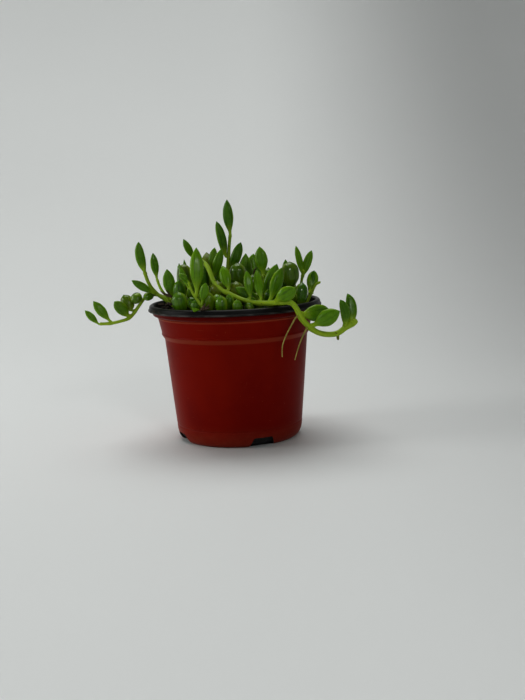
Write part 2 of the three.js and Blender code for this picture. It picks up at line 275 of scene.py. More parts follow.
def run_shares(path):
    """How far along its path each point is, from 0 to 1, and the path's length."""
    run = np.concatenate([[0.0], np.cumsum(np.linalg.norm(np.diff(path, axis=0), axis=1))])
    return run / run[-1], run[-1]


def sweep(path, half_wide, half_thick, across, sides, edge=0.0, flat=0.0, groove=None):
    """Points of an oval section that follows a path, and each point's place on it.

    across is the width axis at the far end. edge sharpens the two margins, flat thins the
    upper face and groove, one depth for each row, presses a crease along it.
    """
    along = unit(np.gradient(path, axis=0))
    axis = np.empty_like(path)
    current = np.asarray(across, float)
    for i in reversed(range(len(path))):
        current = unit(current - along[i] * current.dot(along[i]))
        axis[i] = current
    facing = np.cross(axis, along)
    turn = np.linspace(0.0, 2 * math.pi, sides, endpoint=False)
    cos, sin = np.cos(turn), np.sin(turn)
    upper = (sin > 0).astype(float)
    x = half_wide[:, None] * cos
    y = half_thick[:, None] * sin * np.abs(sin) ** edge * (1 - flat * upper)
    if groove is not None:
        y -= half_thick[:, None] * groove[:, None] * np.exp(-((cos / 0.3) ** 2)) * upper
    rows = path[:, None] + axis[:, None] * x[..., None] + facing[:, None] * y[..., None]
    shares, _ = run_shares(path)
    place = np.empty(rows.shape)
    place[..., 0] = cos
    place[..., 1] = sin
    place[..., 2] = shares[:, None]
    points = np.vstack([rows.reshape(-1, 3), path[0], path[-1]])
    places = np.vstack([place.reshape(-1, 3), (0.0, 0.0, 0.0), (0.0, 0.0, 1.0)])
    return points, sweep_faces(len(path), sides), places


def sweep_faces(rows, sides):
    """Faces of a closed sweep whose last two points are its end centres."""
    faces = []
    first_end, last_end = rows * sides, rows * sides + 1
    last_row = (rows - 1) * sides
    for k in range(sides):
        after = (k + 1) % sides
        for i in range(rows - 1):
            low, high = i * sides, (i + 1) * sides
            faces.append((low + k, high + k, high + after, low + after))
        faces.append((first_end, k, after))
        faces.append((last_end, last_row + after, last_row + k))
    return faces


def lathe(profile, segments):
    """A body of revolution from [radius, height] points that start and end on the axis."""
    turn = np.linspace(0.0, 2 * math.pi, segments, endpoint=False)
    inner = np.asarray(profile[1:-1])
    points = np.empty((len(inner), segments, 3))
    points[..., 0] = inner[:, :1] * np.cos(turn)
    points[..., 1] = inner[:, :1] * np.sin(turn)
    points[..., 2] = inner[:, 1:]
    points = np.vstack([points.reshape(-1, 3), (0, 0, profile[0][1]), (0, 0, profile[-1][1])])
    first, last = len(points) - 2, len(points) - 1
    top = (len(inner) - 1) * segments
    faces = []
    for k in range(segments):
        after = (k + 1) % segments
        faces.append((first, after, k))
        for i in range(len(inner) - 1):
            low, high = i * segments, (i + 1) * segments
            faces.append((low + k, low + after, high + after, high + k))
        faces.append((last, top + k, top + after))
    return points, faces


def rounded(corners, steps=5):
    """A line through (radius, height, rounding) corners, each corner rounded by that much."""
    line = [np.array(corners[0][:2])]
    for before, (r, z, rounding), after in zip(corners, corners[1:], corners[2:]):
        here = np.array((r, z))
        back = np.array(before[:2]) - here
        on = np.array(after[:2]) - here
        reach = min(rounding, 0.45 * np.linalg.norm(back), 0.45 * np.linalg.norm(on))
        start, end = here + unit(back) * reach, here + unit(on) * reach
        for s in np.linspace(0.0, 1.0, steps + 1):
            line.append((1 - s) ** 2 * start + 2 * s * (1 - s) * here + s**2 * end)
    line.append(np.array(corners[-1][:2]))
    return line


def divided(line, longest):
    """The same line with its long stretches cut into short ones."""
    cut = [line[0]]
    for before, after in zip(line, line[1:]):
        count = max(1, math.ceil(np.linalg.norm(after - before) / longest))
        cut.extend(before + (after - before) * k / count for k in range(1, count + 1))
    return cut


class Piece:
    """Collects the parts of one piece's mesh, and then makes its object."""

    def __init__(self, name, slot, *materials):
        self.name = name
        self.slot = slot
        self.materials = materials
        self.points, self.places, self.tones = [], [], []
        self.faces, self.finishes = [], []
        self.count = 0

    def add(self, points, faces, places=None, tone=(0.5, 0.0, 0.0), finish=0):
        """One closed part: its points, faces, places for the material, tone and finish."""
        points = np.asarray(points, float)
        self.faces.extend(tuple(i + self.count for i in face) for face in faces)
        self.finishes.extend([finish] * len(faces))
        self.points.append(points)
        self.places.append(np.zeros(points.shape) if places is None else places)
        self.tones.append(np.tile(tone, (len(points), 1)))
        self.count += len(points)

    def make(self, *nodes, sharp=None):
        """The piece as an object that rides on the root body and stands for the nodes."""
        mesh = bpy.data.meshes.new(self.name)
        mesh.from_pydata(np.vstack(self.points).tolist(), [], self.faces)
        mesh.polygons.foreach_set("material_index", self.finishes)
        for name, values in (("place", self.places), ("tone", self.tones)):
            attribute = mesh.attributes.new(name, "FLOAT_VECTOR", "POINT")
            attribute.data.foreach_set("vector", np.vstack(values).astype(np.float32).ravel())
        mesh.shade_smooth()
        if sharp is not None:
            mesh.set_sharp_from_angle(angle=sharp)
        for material in self.materials:
            mesh.materials.append(material)
        piece = bpy.data.objects.new(self.name, mesh)
        bpy.context.scene.collection.objects.link(piece)
        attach(piece, "root")
        if nodes:
            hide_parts(*nodes)
        return piece


# ---- Materials ----


class Wiring:
    """A node tree that is being wired up."""

    def __init__(self, tree):
        self.tree = tree

    def feed(self, socket, value):
        """Links a socket, or sets its value."""
        if isinstance(value, bpy.types.NodeSocket):
            self.tree.links.new(value, socket)
        elif isinstance(socket, bpy.types.NodeSocketColor) and len(value) == 3:
            socket.default_value = (*value, 1.0)
        else:
            socket.default_value = value

    def node(self, kind, inputs=None, **settings):
        """A new node with its settings and its named inputs."""
        node = self.tree.nodes.new("ShaderNode" + kind)
        for name, value in settings.items():
            setattr(node, name, value)
        for name, value in (inputs or {}).items():
            self.feed(node.inputs[name], value)
        return node

    def maths(self, operation, *values):
        """The result of a Math node."""
        node = self.node("Math", operation=operation)
        for socket, value in zip(node.inputs, values):
            self.feed(socket, value)
        return node.outputs[0]

    def between(self, value, low, high, to_low=0.0, to_high=1.0):
        """A value eased from one range into another."""
        node = self.node(
            "MapRange",
            {"Value": value, "From Min": low, "From Max": high, "To Min": to_low,
             "To Max": to_high},
            interpolation_type="SMOOTHSTEP",
        )
        return node.outputs["Result"]

    def blend(self, amount, first, second):
        """Two colours mixed by an amount."""
        node = self.node("Mix", data_type="RGBA")
        self.feed(node.inputs[0], amount)
        self.feed(node.inputs[6], first)
        self.feed(node.inputs[7], second)
        return node.outputs[2]

    def noise(self, vector, scale, detail=3.0, roughness=0.5):
        """A noise value at a scale in features for each metre."""
        node = self.node(
            "TexNoise",
            {"Vector": vector, "Scale": scale, "Detail": detail, "Roughness": roughness},
        )
        return node.outputs["Fac"]

    def group(self, tree, **inputs):
        """Outputs of a shared effect, placed with its own values."""
        node = self.node("Group")
        node.node_tree = tree
        for name, value in inputs.items():
            self.feed(node.inputs[name.replace("_", " ")], value)
        return node.outputs


def shared_effect(name, inputs, outputs):
    """An empty node group with named sockets, and its wiring, input and output nodes."""
    tree = bpy.data.node_groups.new(name, "ShaderNodeTree")
    kinds = {"value": "NodeSocketFloat", "vector": "NodeSocketVector", "colour": "NodeSocketColor"}
    for label, kind in inputs.items():
        tree.interface.new_socket(name=label, in_out="INPUT", socket_type=kinds[kind])
    for label, kind in outputs.items():
        tree.interface.new_socket(name=label, in_out="OUTPUT", socket_type=kinds[kind])
    start = tree.nodes.new("NodeGroupInput")
    end = tree.nodes.new("NodeGroupOutput")
    return tree, Wiring(tree), start.outputs, end.inputs


def mottle_effect():
    """Soft uneven patches, from 0 to 1."""
    tree = bpy.data.node_groups.get("soft mottle")
    if tree is None:
        tree, w, given, out = shared_effect(
            "soft mottle", {"place": "vector", "scale": "value"}, {"amount": "value"},
        )
        broad = w.noise(given["place"], given["scale"], 2.0)
        fine = w.noise(given["place"], w.maths("MULTIPLY", given["scale"], 5.0), 3.0, 0.6)
        both = w.maths("ADD", w.maths("MULTIPLY", broad, 0.65), w.maths("MULTIPLY", fine, 0.35))
        w.feed(out["amount"], w.between(both, 0.36, 0.64))
    return tree


def scuff_effect():
    """Thin scratches and rubbed specks: a mask from 0 to 1."""
    tree = bpy.data.node_groups.get("scuffs")
    if tree is None:
        tree, w, given, out = shared_effect(
            "scuffs", {"place": "vector", "stretch": "vector", "amount": "value"},
            {"mask": "value"},
        )
        drawn = w.node("VectorMath", operation="MULTIPLY")
        w.feed(drawn.inputs[0], given["place"])
        w.feed(drawn.inputs[1], given["stretch"])
        lines = w.noise(drawn.outputs[0], 130.0, 5.0, 0.62)
        specks = w.noise(given["place"], 620.0, 2.0, 0.5)
        scratch = w.between(lines, 0.66, 0.74)
        speck = w.between(specks, 0.70, 0.76)
        both = w.maths("MAXIMUM", scratch, speck)
        patch = w.between(w.noise(given["place"], 26.0, 2.0), 0.42, 0.62)
        w.feed(out["mask"], w.maths("MULTIPLY", w.maths("MULTIPLY", both, patch), given["amount"]))
    return tree


def stripe_effect():
    """Lengthwise lines round a leaf, bead or stem: a mask from 0 to 1."""
    tree = bpy.data.node_groups.get("lengthwise stripes")
    if tree is None:
        tree, w, given, out = shared_effect(
            "lengthwise stripes",
            {"place": "vector", "count": "value", "sharpness": "value", "tint": "value"},
            {"mask": "value"},
        )
        parts = w.node("SeparateXYZ", {"Vector": given["place"]}).outputs
        turn = w.maths("ARCTAN2", parts["Y"], parts["X"])
        shift = w.node("VectorMath", operation="ADD")
        w.feed(shift.inputs[0], given["place"])
        w.feed(shift.inputs[1], w.node("CombineXYZ", {"X": given["tint"]}).outputs[0])
        wobble = w.noise(shift.outputs[0], 1.6, 2.0)
        bent = w.maths("ADD", turn, w.maths("MULTIPLY", wobble, 1.1))
        wave = w.maths("COSINE", w.maths("MULTIPLY", bent, given["count"]))
        fine = w.maths("COSINE", w.maths("MULTIPLY", bent, w.maths("MULTIPLY", given["count"], 2.7)))
        both = w.maths("ADD", wave, w.maths("MULTIPLY", fine, 0.5))
        line = w.between(both, given["sharpness"], 1.5)
        ends = w.maths("MULTIPLY", w.between(parts["Z"], 0.04, 0.3), w.between(parts["Z"], 1.0, 0.8))
        w.feed(out["mask"], w.maths("MULTIPLY", line, ends))
    return tree


def new_material(name):
    """An empty material with its wiring and its shader."""
    material = bpy.data.materials.new(name)
    material.use_nodes = True
    material.node_tree.nodes.clear()
    w = Wiring(material.node_tree)
    shader = w.node("BsdfPrincipled")
    end = w.node("OutputMaterial")
    material.node_tree.links.new(shader.outputs["BSDF"], end.inputs["Surface"])
    return material, w, shader


def bump(w, shader, height, distance, strength=1.0):
    """Feeds a height into the shader's normal."""
    node = w.node("Bump", {"Height": height, "Distance": distance, "Strength": strength})
    w.feed(shader.inputs["Normal"], node.outputs["Normal"])


def attribute(w, name):
    """The vector that a piece's mesh holds under a name."""
    return w.node("Attribute", attribute_name=name).outputs["Vector"]


def pot_outside(settings):
    """Matt thermoformed plastic, brick red, with scuffs and a foot flecked with dirt, painted light on
    the band's crest and shoulder and painted shade on the neck under the lip.
    """
    material, w, shader = new_material("terracotta plastic")
    place = w.node("TexCoord").outputs["Object"]
    height = w.node("SeparateXYZ", {"Vector": place}).outputs["Z"]
    patches = w.group(mottle_effect(), place=place, scale=16.0)["amount"]
    rings = w.group(scuff_effect(), place=place, stretch=(0.25, 0.25, 6.0), amount=0.55)["mask"]
    marks = w.group(scuff_effect(), place=place, stretch=(3.0, 3.0, 0.6), amount=0.45)["mask"]
    foot = w.maths("MULTIPLY", w.between(height, 0.014, 0.001), w.noise(place, 210.0, 4.0, 0.6))
    marked = w.maths("MAXIMUM", w.maths("MAXIMUM", rings, marks), w.maths("MULTIPLY", foot, 0.5))
    tone = w.blend(patches, tuple(settings.red), tuple(settings.deep_red))
    band_top = settings.height - settings.band_top
    band_bottom = band_top - settings.band_depth
    wall_top = band_bottom - settings.shoulder_height
    shoulder = w.maths(
        "MULTIPLY",
        w.between(height, wall_top - 0.3 * MM, wall_top + 0.5 * MM),
        w.between(height, band_bottom + 0.2 * MM, band_bottom - 0.7 * MM),
    )
    crest = w.maths(
        "MULTIPLY",
        w.between(height, band_top - 1.5 * MM, band_top - 0.8 * MM),
        w.between(height, band_top + 0.1 * MM, band_top - 0.4 * MM),
    )
    # painted light: smooth rings of lighter colour, a painted highlight on the band's crest and
    # painted light on its down-facing shoulder
    painted_band_light = w.maths(
        "MAXIMUM", w.maths("MULTIPLY", shoulder, 0.5), w.maths("MULTIPLY", crest, 0.75),
    )
    # painted shade: the neck under the lip's overhang is darkened towards a deeper red
    neck = w.between(height, band_top, band_top + 0.8 * MM, 0.0, 0.8)
    tone = w.blend(neck, tone, tuple(0.55 * c for c in settings.deep_red))
    lit = w.blend(painted_band_light, tone, tuple(settings.painted_band_light))
    w.feed(shader.inputs["Base Color"], w.blend(marked, lit, tuple(settings.scuffed)))
    # roughness from the scuff marks, which are real wear
    wear_and_edge_highlight = w.maths("ADD", w.maths("MULTIPLY", marked, 0.2), 0.34)
    w.feed(shader.inputs["Roughness"], w.maths("ADD", w.maths("MULTIPLY", patches, 0.1), wear_and_edge_highlight))
    shader.inputs["Specular IOR Level"].default_value = 0.03
    shader.inputs["Sheen Weight"].default_value = 0.12
    shader.inputs["Sheen Roughness"].default_value = 0.35
    shader.inputs["Sheen Tint"].default_value = (1.0, 0.72, 0.62, 1.0)
    grain = w.noise(place, 1500.0, 2.0)
    bump(w, shader, w.maths("ADD", w.maths("MULTIPLY", grain, 0.4), marked), 0.00004, 0.6)
    return material


def pot_inside(settings):
    """The pot's black inner layer and lip, with grey rub marks, a painted highlight line on the lip's
    lower edge and painted sheen on the lip's upward faces.
    """
    material, w, shader = new_material("black plastic")
    place = w.node("TexCoord").outputs["Object"]
    patches = w.group(mottle_effect(), place=place, scale=60.0)["amount"]
    marks = w.group(scuff_effect(), place=place, stretch=(0.6, 0.6, 4.0), amount=0.8)["mask"]
    tone = w.blend(patches, tuple(settings.black), tuple(1.9 * c for c in settings.black))
    height = w.node("SeparateXYZ", {"Vector": place}).outputs["Z"]
    top = settings.height
    # painted highlight: a grey line, broken up by noise, along the lip's lower edge
    edge = w.maths(
        "MULTIPLY",
        w.between(height, top - 3.6 * MM, top - 3.2 * MM),
        w.between(height, top - 2.4 * MM, top - 2.8 * MM),
    )
    wear_and_edge_highlight = w.maths("MULTIPLY", edge, w.between(w.noise(place, 90.0, 3.0), 0.4, 0.6, 0.1, 0.75))
    grey = w.blend(wear_and_edge_highlight, tone, (0.09, 0.085, 0.078))
    # painted sheen: the lip's upward faces are lightened grey in patches
    upward = w.node("SeparateXYZ", {"Vector": w.node("NewGeometry").outputs["Normal"]}).outputs["Z"]
    lip = w.between(height, top - 5 * MM, top - 4 * MM)
    painted_lip_sheen = w.maths("MULTIPLY", w.maths("MULTIPLY", w.between(upward, 0.6, 1.0), lip),
                   w.between(patches, 0.0, 1.0, 0.35, 0.8))
    lip_with_sheen = w.blend(painted_lip_sheen, grey, (0.050, 0.048, 0.043))
    w.feed(shader.inputs["Base Color"], w.blend(marks, lip_with_sheen, (0.07, 0.068, 0.064)))
    w.feed(shader.inputs["Roughness"], w.between(patches, 0.0, 1.0, 0.34, 0.5))
    shader.inputs["Specular IOR Level"].default_value = 0.13
    grain = w.noise(place, 1300.0, 3.0)
    bump(w, shader, w.maths("ADD", grain, marks), 0.00005, 0.6)
    return material


def peat_material(settings):
    """Damp peat with dry fibres, darkened low down by painted shade where it shows through the
    notches.
    """
    material, w, shader = new_material("peat")
    place = w.node("TexCoord").outputs["Object"]
    patches = w.group(mottle_effect(), place=place, scale=240.0)["amount"]
    crumbs = w.noise(place, 900.0, 5.0, 0.7)
    fibres = w.between(crumbs, 0.52, 0.72)
    tone = w.blend(patches, tuple(settings.peat), tuple(1.8 * c for c in settings.peat))
    height = w.node("SeparateXYZ", {"Vector": place}).outputs["Z"]
    fibrous = w.blend(fibres, tone, tuple(settings.fibre))
    # painted shade: below 50 mm the mix darkens to near black, where it shows through the notches
    painted_notch_shade = tuple(0.15 * c for c in settings.peat)
    w.feed(shader.inputs["Base Color"], w.blend(w.between(height, 0.05, 0.02), fibrous, painted_notch_shade))
    w.feed(shader.inputs["Roughness"], w.between(patches, 0.0, 1.0, 0.72, 0.98))
    bump(w, shader, crumbs, 0.0006, 0.9)
    return material


def grain_material(settings):
    """Loose bark, peat crumbs and a little perlite, told apart by the mesh's tone."""
    material, w, shader = new_material("loose grains")
    place = w.node("TexCoord").outputs["Object"]
    tone = w.node("SeparateXYZ", {"Vector": attribute(w, "tone")}).outputs
    rough = w.noise(place, 1400.0, 4.0, 0.65)
    bark = w.blend(tone["X"], tuple(settings.peat), tuple(1.3 * c for c in settings.fibre))
    shade = w.blend(w.between(rough, 0.35, 0.65), bark, tuple(settings.fibre))
    pale = w.blend(w.between(rough, 0.4, 0.7), (0.42, 0.40, 0.36), (0.62, 0.60, 0.56))
    w.feed(shader.inputs["Base Color"], w.blend(tone["Y"], shade, pale))
    w.feed(shader.inputs["Roughness"], w.between(rough, 0.3, 0.7, 0.65, 0.95))
    bump(w, shader, rough, 0.0003, 0.8)
    return material


def leaf_material(name, settings, count, sharpness, striping, gloss, shine):
    """Fleshy green skin: lime foot, darker lines, paler margins and an olive tint."""
    material, w, shader = new_material(name)
    place = attribute(w, "place")
    parts = w.node("SeparateXYZ", {"Vector": place}).outputs
    tone = w.node("SeparateXYZ", {"Vector": attribute(w, "tone")}).outputs
    spot = w.node("TexCoord").outputs["Object"]
    patches = w.group(mottle_effect(), place=spot, scale=170.0)["amount"]
    lines = w.group(
        stripe_effect(), place=place, count=count, sharpness=sharpness, tint=tone["X"],
    )["mask"]
    green = w.blend(tone["X"], tuple(settings.dark_green), tuple(settings.bright_green))
    deep = tuple(0.42 * c for c in settings.dark_green)
    lined = w.blend(w.maths("MULTIPLY", lines, striping), green, deep)
    uneven = w.blend(w.maths("MULTIPLY", patches, 0.22), lined, tuple(settings.bright_green))
    margin = w.between(w.maths("ABSOLUTE", parts["X"]), 0.80, 1.0)
    upper = w.between(parts["Z"], 0.25, 0.5)
    rim = w.maths("MULTIPLY", w.maths("MULTIPLY", margin, upper), 0.42)
    rimmed = w.blend(rim, uneven, tuple(settings.lime))
    foot = w.maths("MULTIPLY", w.between(parts["Z"], 0.42, 0.06), 0.75)
    footed = w.blend(foot, rimmed, tuple(settings.lime))
    sun = w.maths("MULTIPLY", tone["Y"], w.between(patches, 0.0, 1.0, 0.55, 1.0))
    tinted = w.blend(sun, footed, tuple(settings.olive))
    tip = w.between(parts["Z"], 0.965, 1.0)
    w.feed(shader.inputs["Base Color"], w.blend(w.maths("MULTIPLY", tip, 0.6), tinted, deep))
    w.feed(shader.inputs["Roughness"], w.between(patches, 0.0, 1.0, gloss, gloss + 0.12))
    shader.inputs["Subsurface Weight"].default_value = 0.22
    shader.inputs["Subsurface Radius"].default_value = (0.5, 1.0, 0.2)
    shader.inputs["Subsurface Scale"].default_value = 0.0018
    shader.inputs["Specular IOR Level"].default_value = shine
    skin = w.noise(spot, 2600.0, 2.0)
    ribs = w.maths("MULTIPLY", lines, -0.8)
    bump(w, shader, w.maths("ADD", w.maths("MULTIPLY", skin, 0.25), ribs), 0.00006, 0.6)
    return material


def stem_material(settings):
    """Smooth lime stem with fine lines and a few brown scars."""
    material, w, shader = new_material("lime stem")
    place = attribute(w, "place")
    tone = w.node("SeparateXYZ", {"Vector": attribute(w, "tone")}).outputs
    spot = w.node("TexCoord").outputs["Object"]
    patches = w.group(mottle_effect(), place=spot, scale=120.0)["amount"]
    lines = w.group(
        stripe_effect(), place=place, count=5.0, sharpness=-0.2, tint=tone["X"],
    )["mask"]
    green = w.blend(tone["X"], tuple(0.55 * c for c in settings.lime), tuple(settings.lime))
    lined = w.blend(w.maths("MULTIPLY", lines, 0.5), green, tuple(settings.dark_green))
    uneven = w.blend(w.maths("MULTIPLY", patches, 0.3), lined, tuple(settings.bright_green))
    scars = w.between(w.noise(spot, 330.0, 2.0), 0.70, 0.74)
    scarred = w.blend(w.maths("MAXIMUM", w.maths("MULTIPLY", scars, 0.7), tone["Y"]), uneven,
                      tuple(settings.dry))
    w.feed(shader.inputs["Base Color"], scarred)
    w.feed(shader.inputs["Roughness"], w.between(patches, 0.0, 1.0, 0.36, 0.5))
    shader.inputs["Specular IOR Level"].default_value = 0.20
    shader.inputs["Subsurface Weight"].default_value = 0.18
    shader.inputs["Subsurface Radius"].default_value = (0.6, 1.0, 0.2)
    shader.inputs["Subsurface Scale"].default_value = 0.0012
    bump(w, shader, w.maths("ADD", lines, w.noise(spot, 1900.0, 2.0)), 0.00005, 0.5)
    return material


def fibre_material(name, tint, dark):
    """Dry, matt plant fibre for roots and dead bits."""
    material, w, shader = new_material(name)
    spot = w.node("TexCoord").outputs["Object"]
    patches = w.group(mottle_effect(), place=spot, scale=300.0)["amount"]
    w.feed(shader.inputs["Base Color"], w.blend(patches, tuple(tint), tuple(dark)))
    w.feed(shader.inputs["Roughness"], w.between(patches, 0.0, 1.0, 0.55, 0.8))
    bump(w, shader, w.noise(spot, 1800.0, 3.0), 0.0001, 0.7)
    return material


def paper_material(settings):
    """Pale paper for floor and backdrop, with painted shade that falls to about half as bright towards
    +X.
    """
    material, w, shader = new_material("pale paper")
    place = w.node("TexCoord").outputs["Object"]
    across = w.node("SeparateXYZ", {"Vector": place}).outputs["X"]
    patches = w.noise(place, 3.0, 2.0)
    darker = tuple(0.97 * c for c in settings.paper)
    even = w.blend(patches, tuple(settings.paper), darker)
    # painted shade: the paper darkens towards +X to about half its brightness
    shaded = w.maths("MULTIPLY", w.between(across, 0.02, 0.45), 0.72)
    shade = tuple(0.35 * c for c in settings.paper)
    w.feed(shader.inputs["Base Color"], w.blend(shaded, even, shade))
    w.feed(shader.inputs["Roughness"], w.between(patches, 0.3, 0.7, 0.62, 0.75))
    return material


def material_once(name, make):
    """A material by its name, made the first time that it is asked for."""
    return bpy.data.materials.get(name) or make()


def leaf_finish(settings):
    """The skin of leaves."""
    return material_once(
        "leaf skin", lambda: leaf_material("leaf skin", settings, 7.0, 0.1, 0.42, 0.2, 0.2),
    )


def bead_finish(settings):
    """The skin of beads, with clearer stripes and more gloss."""
    return material_once(
        "bead skin", lambda: leaf_material("bead skin", settings, 9.0, 0.25, 0.6, 0.15, 0.4),
    )


def stem_finish(settings):
    """The skin of stems."""
    return material_once("lime stem", lambda: stem_material(settings))


# ---- Plant shapes ----

# Share of the greatest half width along a blade, from its foot (0) to its tip (1).
OUTLINES = {
    "leaf": [(0, 0.27), (0.1, 0.36), (0.25, 0.71), (0.42, 0.97), (0.55, 1.0), (0.74, 0.85),
             (0.88, 0.51), (0.95, 0.25), (1, 0.03)],
    "broad": [(0, 0.34), (0.08, 0.52), (0.2, 0.78), (0.38, 0.97), (0.5, 1.0), (0.72, 0.88),
              (0.88, 0.55), (0.95, 0.27), (1, 0.03)],
    "seated": [(0, 0.56), (0.1, 0.74), (0.24, 0.92), (0.4, 1.0), (0.56, 0.98), (0.74, 0.82),
               (0.88, 0.52), (0.95, 0.26), (1, 0.03)],
    "bead": [(0, 0.20), (0.05, 0.36), (0.13, 0.62), (0.28, 0.89), (0.46, 1.0), (0.64, 0.99),
             (0.79, 0.84), (0.89, 0.56), (0.95, 0.23), (1, 0.03)],
    "stalked": [(0, 0.20), (0.36, 0.18), (0.46, 0.54), (0.58, 0.90), (0.73, 1.0), (0.86, 0.90),
                (0.94, 0.62), (0.98, 0.28), (1, 0.04)],
}
SECTIONS = {  # margin sharpness, thinner upper face, crease
    "leaf": (0.22, 0.18, 0.20),
    "broad": (0.22, 0.18, 0.20),
    "seated": (0.22, 0.18, 0.20),
    "bead": (0.0, 0.0, 0.05),
    "stalked": (0.0, 0.0, 0.05),
}

# How bright each leaf or bead is (0 dark, 1 bright) and how olive, where it stands out.
TONES = {
    "tall_shoot_leaf_1": (0.10, 0.0),
    "tall_shoot_leaf_2": (0.22, 0.0),
    "tall_shoot_leaf_3": (0.20, 0.0),
    "right_pair_shoot_leaf_1": (0.80, 0.0),
    "right_pair_shoot_leaf_2": (0.72, 0.0),
    "right_edge_shoot_leaf_1": (0.75, 0.1),
    "centre_shoot_leaf_1": (0.50, 0.15),
    "centre_shoot_leaf_3": (0.30, 0.65),
    "left_shoot_leaf_1": (0.42, 0.0),
    "left_shoot_leaf_2": (0.40, 0.0),
    "inner_left_shoot_leaf_1": (0.34, 0.0),
    "inner_left_shoot_leaf_2": (0.46, 0.0),
    "left_trailer_leaf_3": (0.34, 0.15),
    "left_trailer_leaf_4": (0.30, 0.45),
    "front_left_shoot_leaf_2": (0.85, 0.0),
    "front_left_shoot_leaf_1": (0.62, 0.0),
    "right_trailer_leaf_1": (0.72, 0.0),
    "right_trailer_leaf_3": (0.85, 0.0),
    "right_trailer_leaf_5": (0.70, 0.0),
    "right_trailer_leaf_8": (0.30, 0.0),
    "right_trailer_leaf_9": (0.34, 0.0),
    "mid_right_shoot_leaf_1": (0.56, 0.0),
    "bead_front_olive": (0.66, 0.40),
    "bead_front_left": (0.30, 0.05),
    "bead_front_striped": (0.42, 0.0),
    "bead_front_pointed": (0.48, 0.0),
    "bead_middle": (0.12, 0.30),
    "bead_left_dome": (0.12, 0.45),
    "bead_right_big": (0.16, 0.30),
    "bead_right_dark": (0.14, 0.0),
}
LEAF_FORMS = {  # the leaves of the frame that aren't plain leaves
    "bead": ("left_trailer_leaf_4",),
    "broad": (
        "right_trailer_leaf_5", "right_trailer_leaf_6", "tall_shoot_leaf_2", "tall_shoot_leaf_3",
        "right_edge_shoot_leaf_1", "right_pair_shoot_leaf_1", "right_pair_shoot_leaf_2",
        "left_trailer_leaf_3", "left_shoot_leaf_1",
    ),
    "seated": ("right_trailer_leaf_8", "right_trailer_leaf_9"),
}
BOWS = {  # sideways bend of a leaf's middle, in millimetres
    "right_trailer_leaf_9": (1.0, 0.0, 0.2),
    "right_trailer_leaf_8": (1.1, 0.0, 0.0),
    "left_shoot_leaf_1": (-0.7, 0.0, 0.0),
    "tall_shoot_leaf_2": (0.4, 0.0, 0.0),
}
EARLY_FEET = {  # how far before the stem's end a last leaf starts, in millimetres
    "right_trailer_leaf_9": 7.5,
    "right_pair_shoot_leaf_1": 4.5,
    "right_pair_shoot_leaf_2": 3.5,
}
MOVED_FEET = {  # a leaf's base, moved by this much in millimetres
    "right_trailer_leaf_5": (-2.0, 0.0, -0.4),
    "right_trailer_leaf_8": (-1.7, 0.0, -1.0),
    "right_trailer_leaf_9": (-1.5, 0.0, -0.6),
}
MOVED_TIPS = {  # a tip, moved by this much in millimetres
    "right_edge_shoot_leaf_1": (0.0, 0.0, -1.4),
    "bead_right_big": (0.4, 0.0, -2.2),
    "bead_middle": (0.0, 0.0, -0.8),
}
EVEN = ((0, 1.0), (1, 1.0))  # share along a stem, and its thickness there
# How thick a stem is against its stem in the frame.
PLUMP = {"right_trailer_stem": 1.28, "left_trailer_stem": 1.15, "left_shoot_stem": 1.1}
THICKENING = {  # the same shares and thicknesses for stems that aren't even
    "right_trailer_stem": ((0, 0.70), (0.3, 0.82), (0.45, 0.78), (0.6, 0.88), (0.72, 0.99),
                           (0.85, 1.04), (1, 1.15)),
}
# Short old root under a stem: start and end from the lip's centre, and half width.
STUBS = {"right_trailer_stem": (((55.7, -32.0, -17.2), (55.9, -32.4, -21.0), 0.85),)}


class Room:
    """Balls of space that the plant takes, so that added pieces stay clear of it."""

    def __init__(self):
        self.centres = np.empty((0, 3))
        self.radii = np.empty(0)

    def take(self, path, half):
        """Marks the space along a path as taken."""
        self.centres = np.vstack([self.centres, path])
        self.radii = np.concatenate([self.radii, half])

    def clear(self, path, half, sink):
        """True if nothing taken reaches the path by more than the sink."""
        if len(self.radii) == 0:
            return True
        gaps = np.linalg.norm(path[:, None] - self.centres[None, :], axis=2)
        return bool((gaps - half[:, None] - self.radii[None, :] > -sink).all())


room = Room()
stems = {}  # smooth centre line and radius of each frame stem, by node name


def draws(name):
    """A random source of its own for each piece, the same on every run."""
    return random.Random(name)


def stem_path(name):
    """The smooth centre line and radius of a frame stem."""
    if name not in stems:
        line, radius = stem_line(name)
        stems[name] = smooth_path(line, STEM_ROW), radius
    return stems[name]


def stem_width(path, radius, nodes, taper=0.2):
    """Radius along a stem: it tapers, swells at its leaves and rounds off at its end."""
    shares, length = run_shares(path)
    width = radius * (1 - taper * shares**1.4)
    for node in nodes:
        gap = np.linalg.norm(path - node, axis=1).min()
        at = shares[np.linalg.norm(path - node, axis=1).argmin()]
        if gap < 4 * radius:
            width += 0.16 * radius * np.exp(-(((shares - at) * length / (1.5 * radius)) ** 2))
    left = (1 - shares) * length
    end = np.clip(1 - left / radius, 0, 1)
    return width * np.sqrt(np.clip(1 - end**2, 0.01, 1))


def add_stem(piece, path, radius, nodes, settings, tone, thickening=EVEN):
    """One round stem along a path, with swellings beside its leaves."""
    shares, _ = run_shares(path)
    width = stem_width(path, radius, nodes) * np.interp(shares, *np.array(thickening, float).T)
    piece.add(*sweep(path, width, width, (0.31, 0.87, 0.38), settings.stem_sides), tone)
    room.take(path, width)


def blade_path(foot, base, tip, bow, step):
    """Centre points of a blade from inside its stem, past its base, to its tip."""
    third = base + (tip - base) / 3 + bow * 0.9
    later = base + (tip - base) * 2 / 3 + bow
    return smooth_path([foot, base, third, later, tip], step)


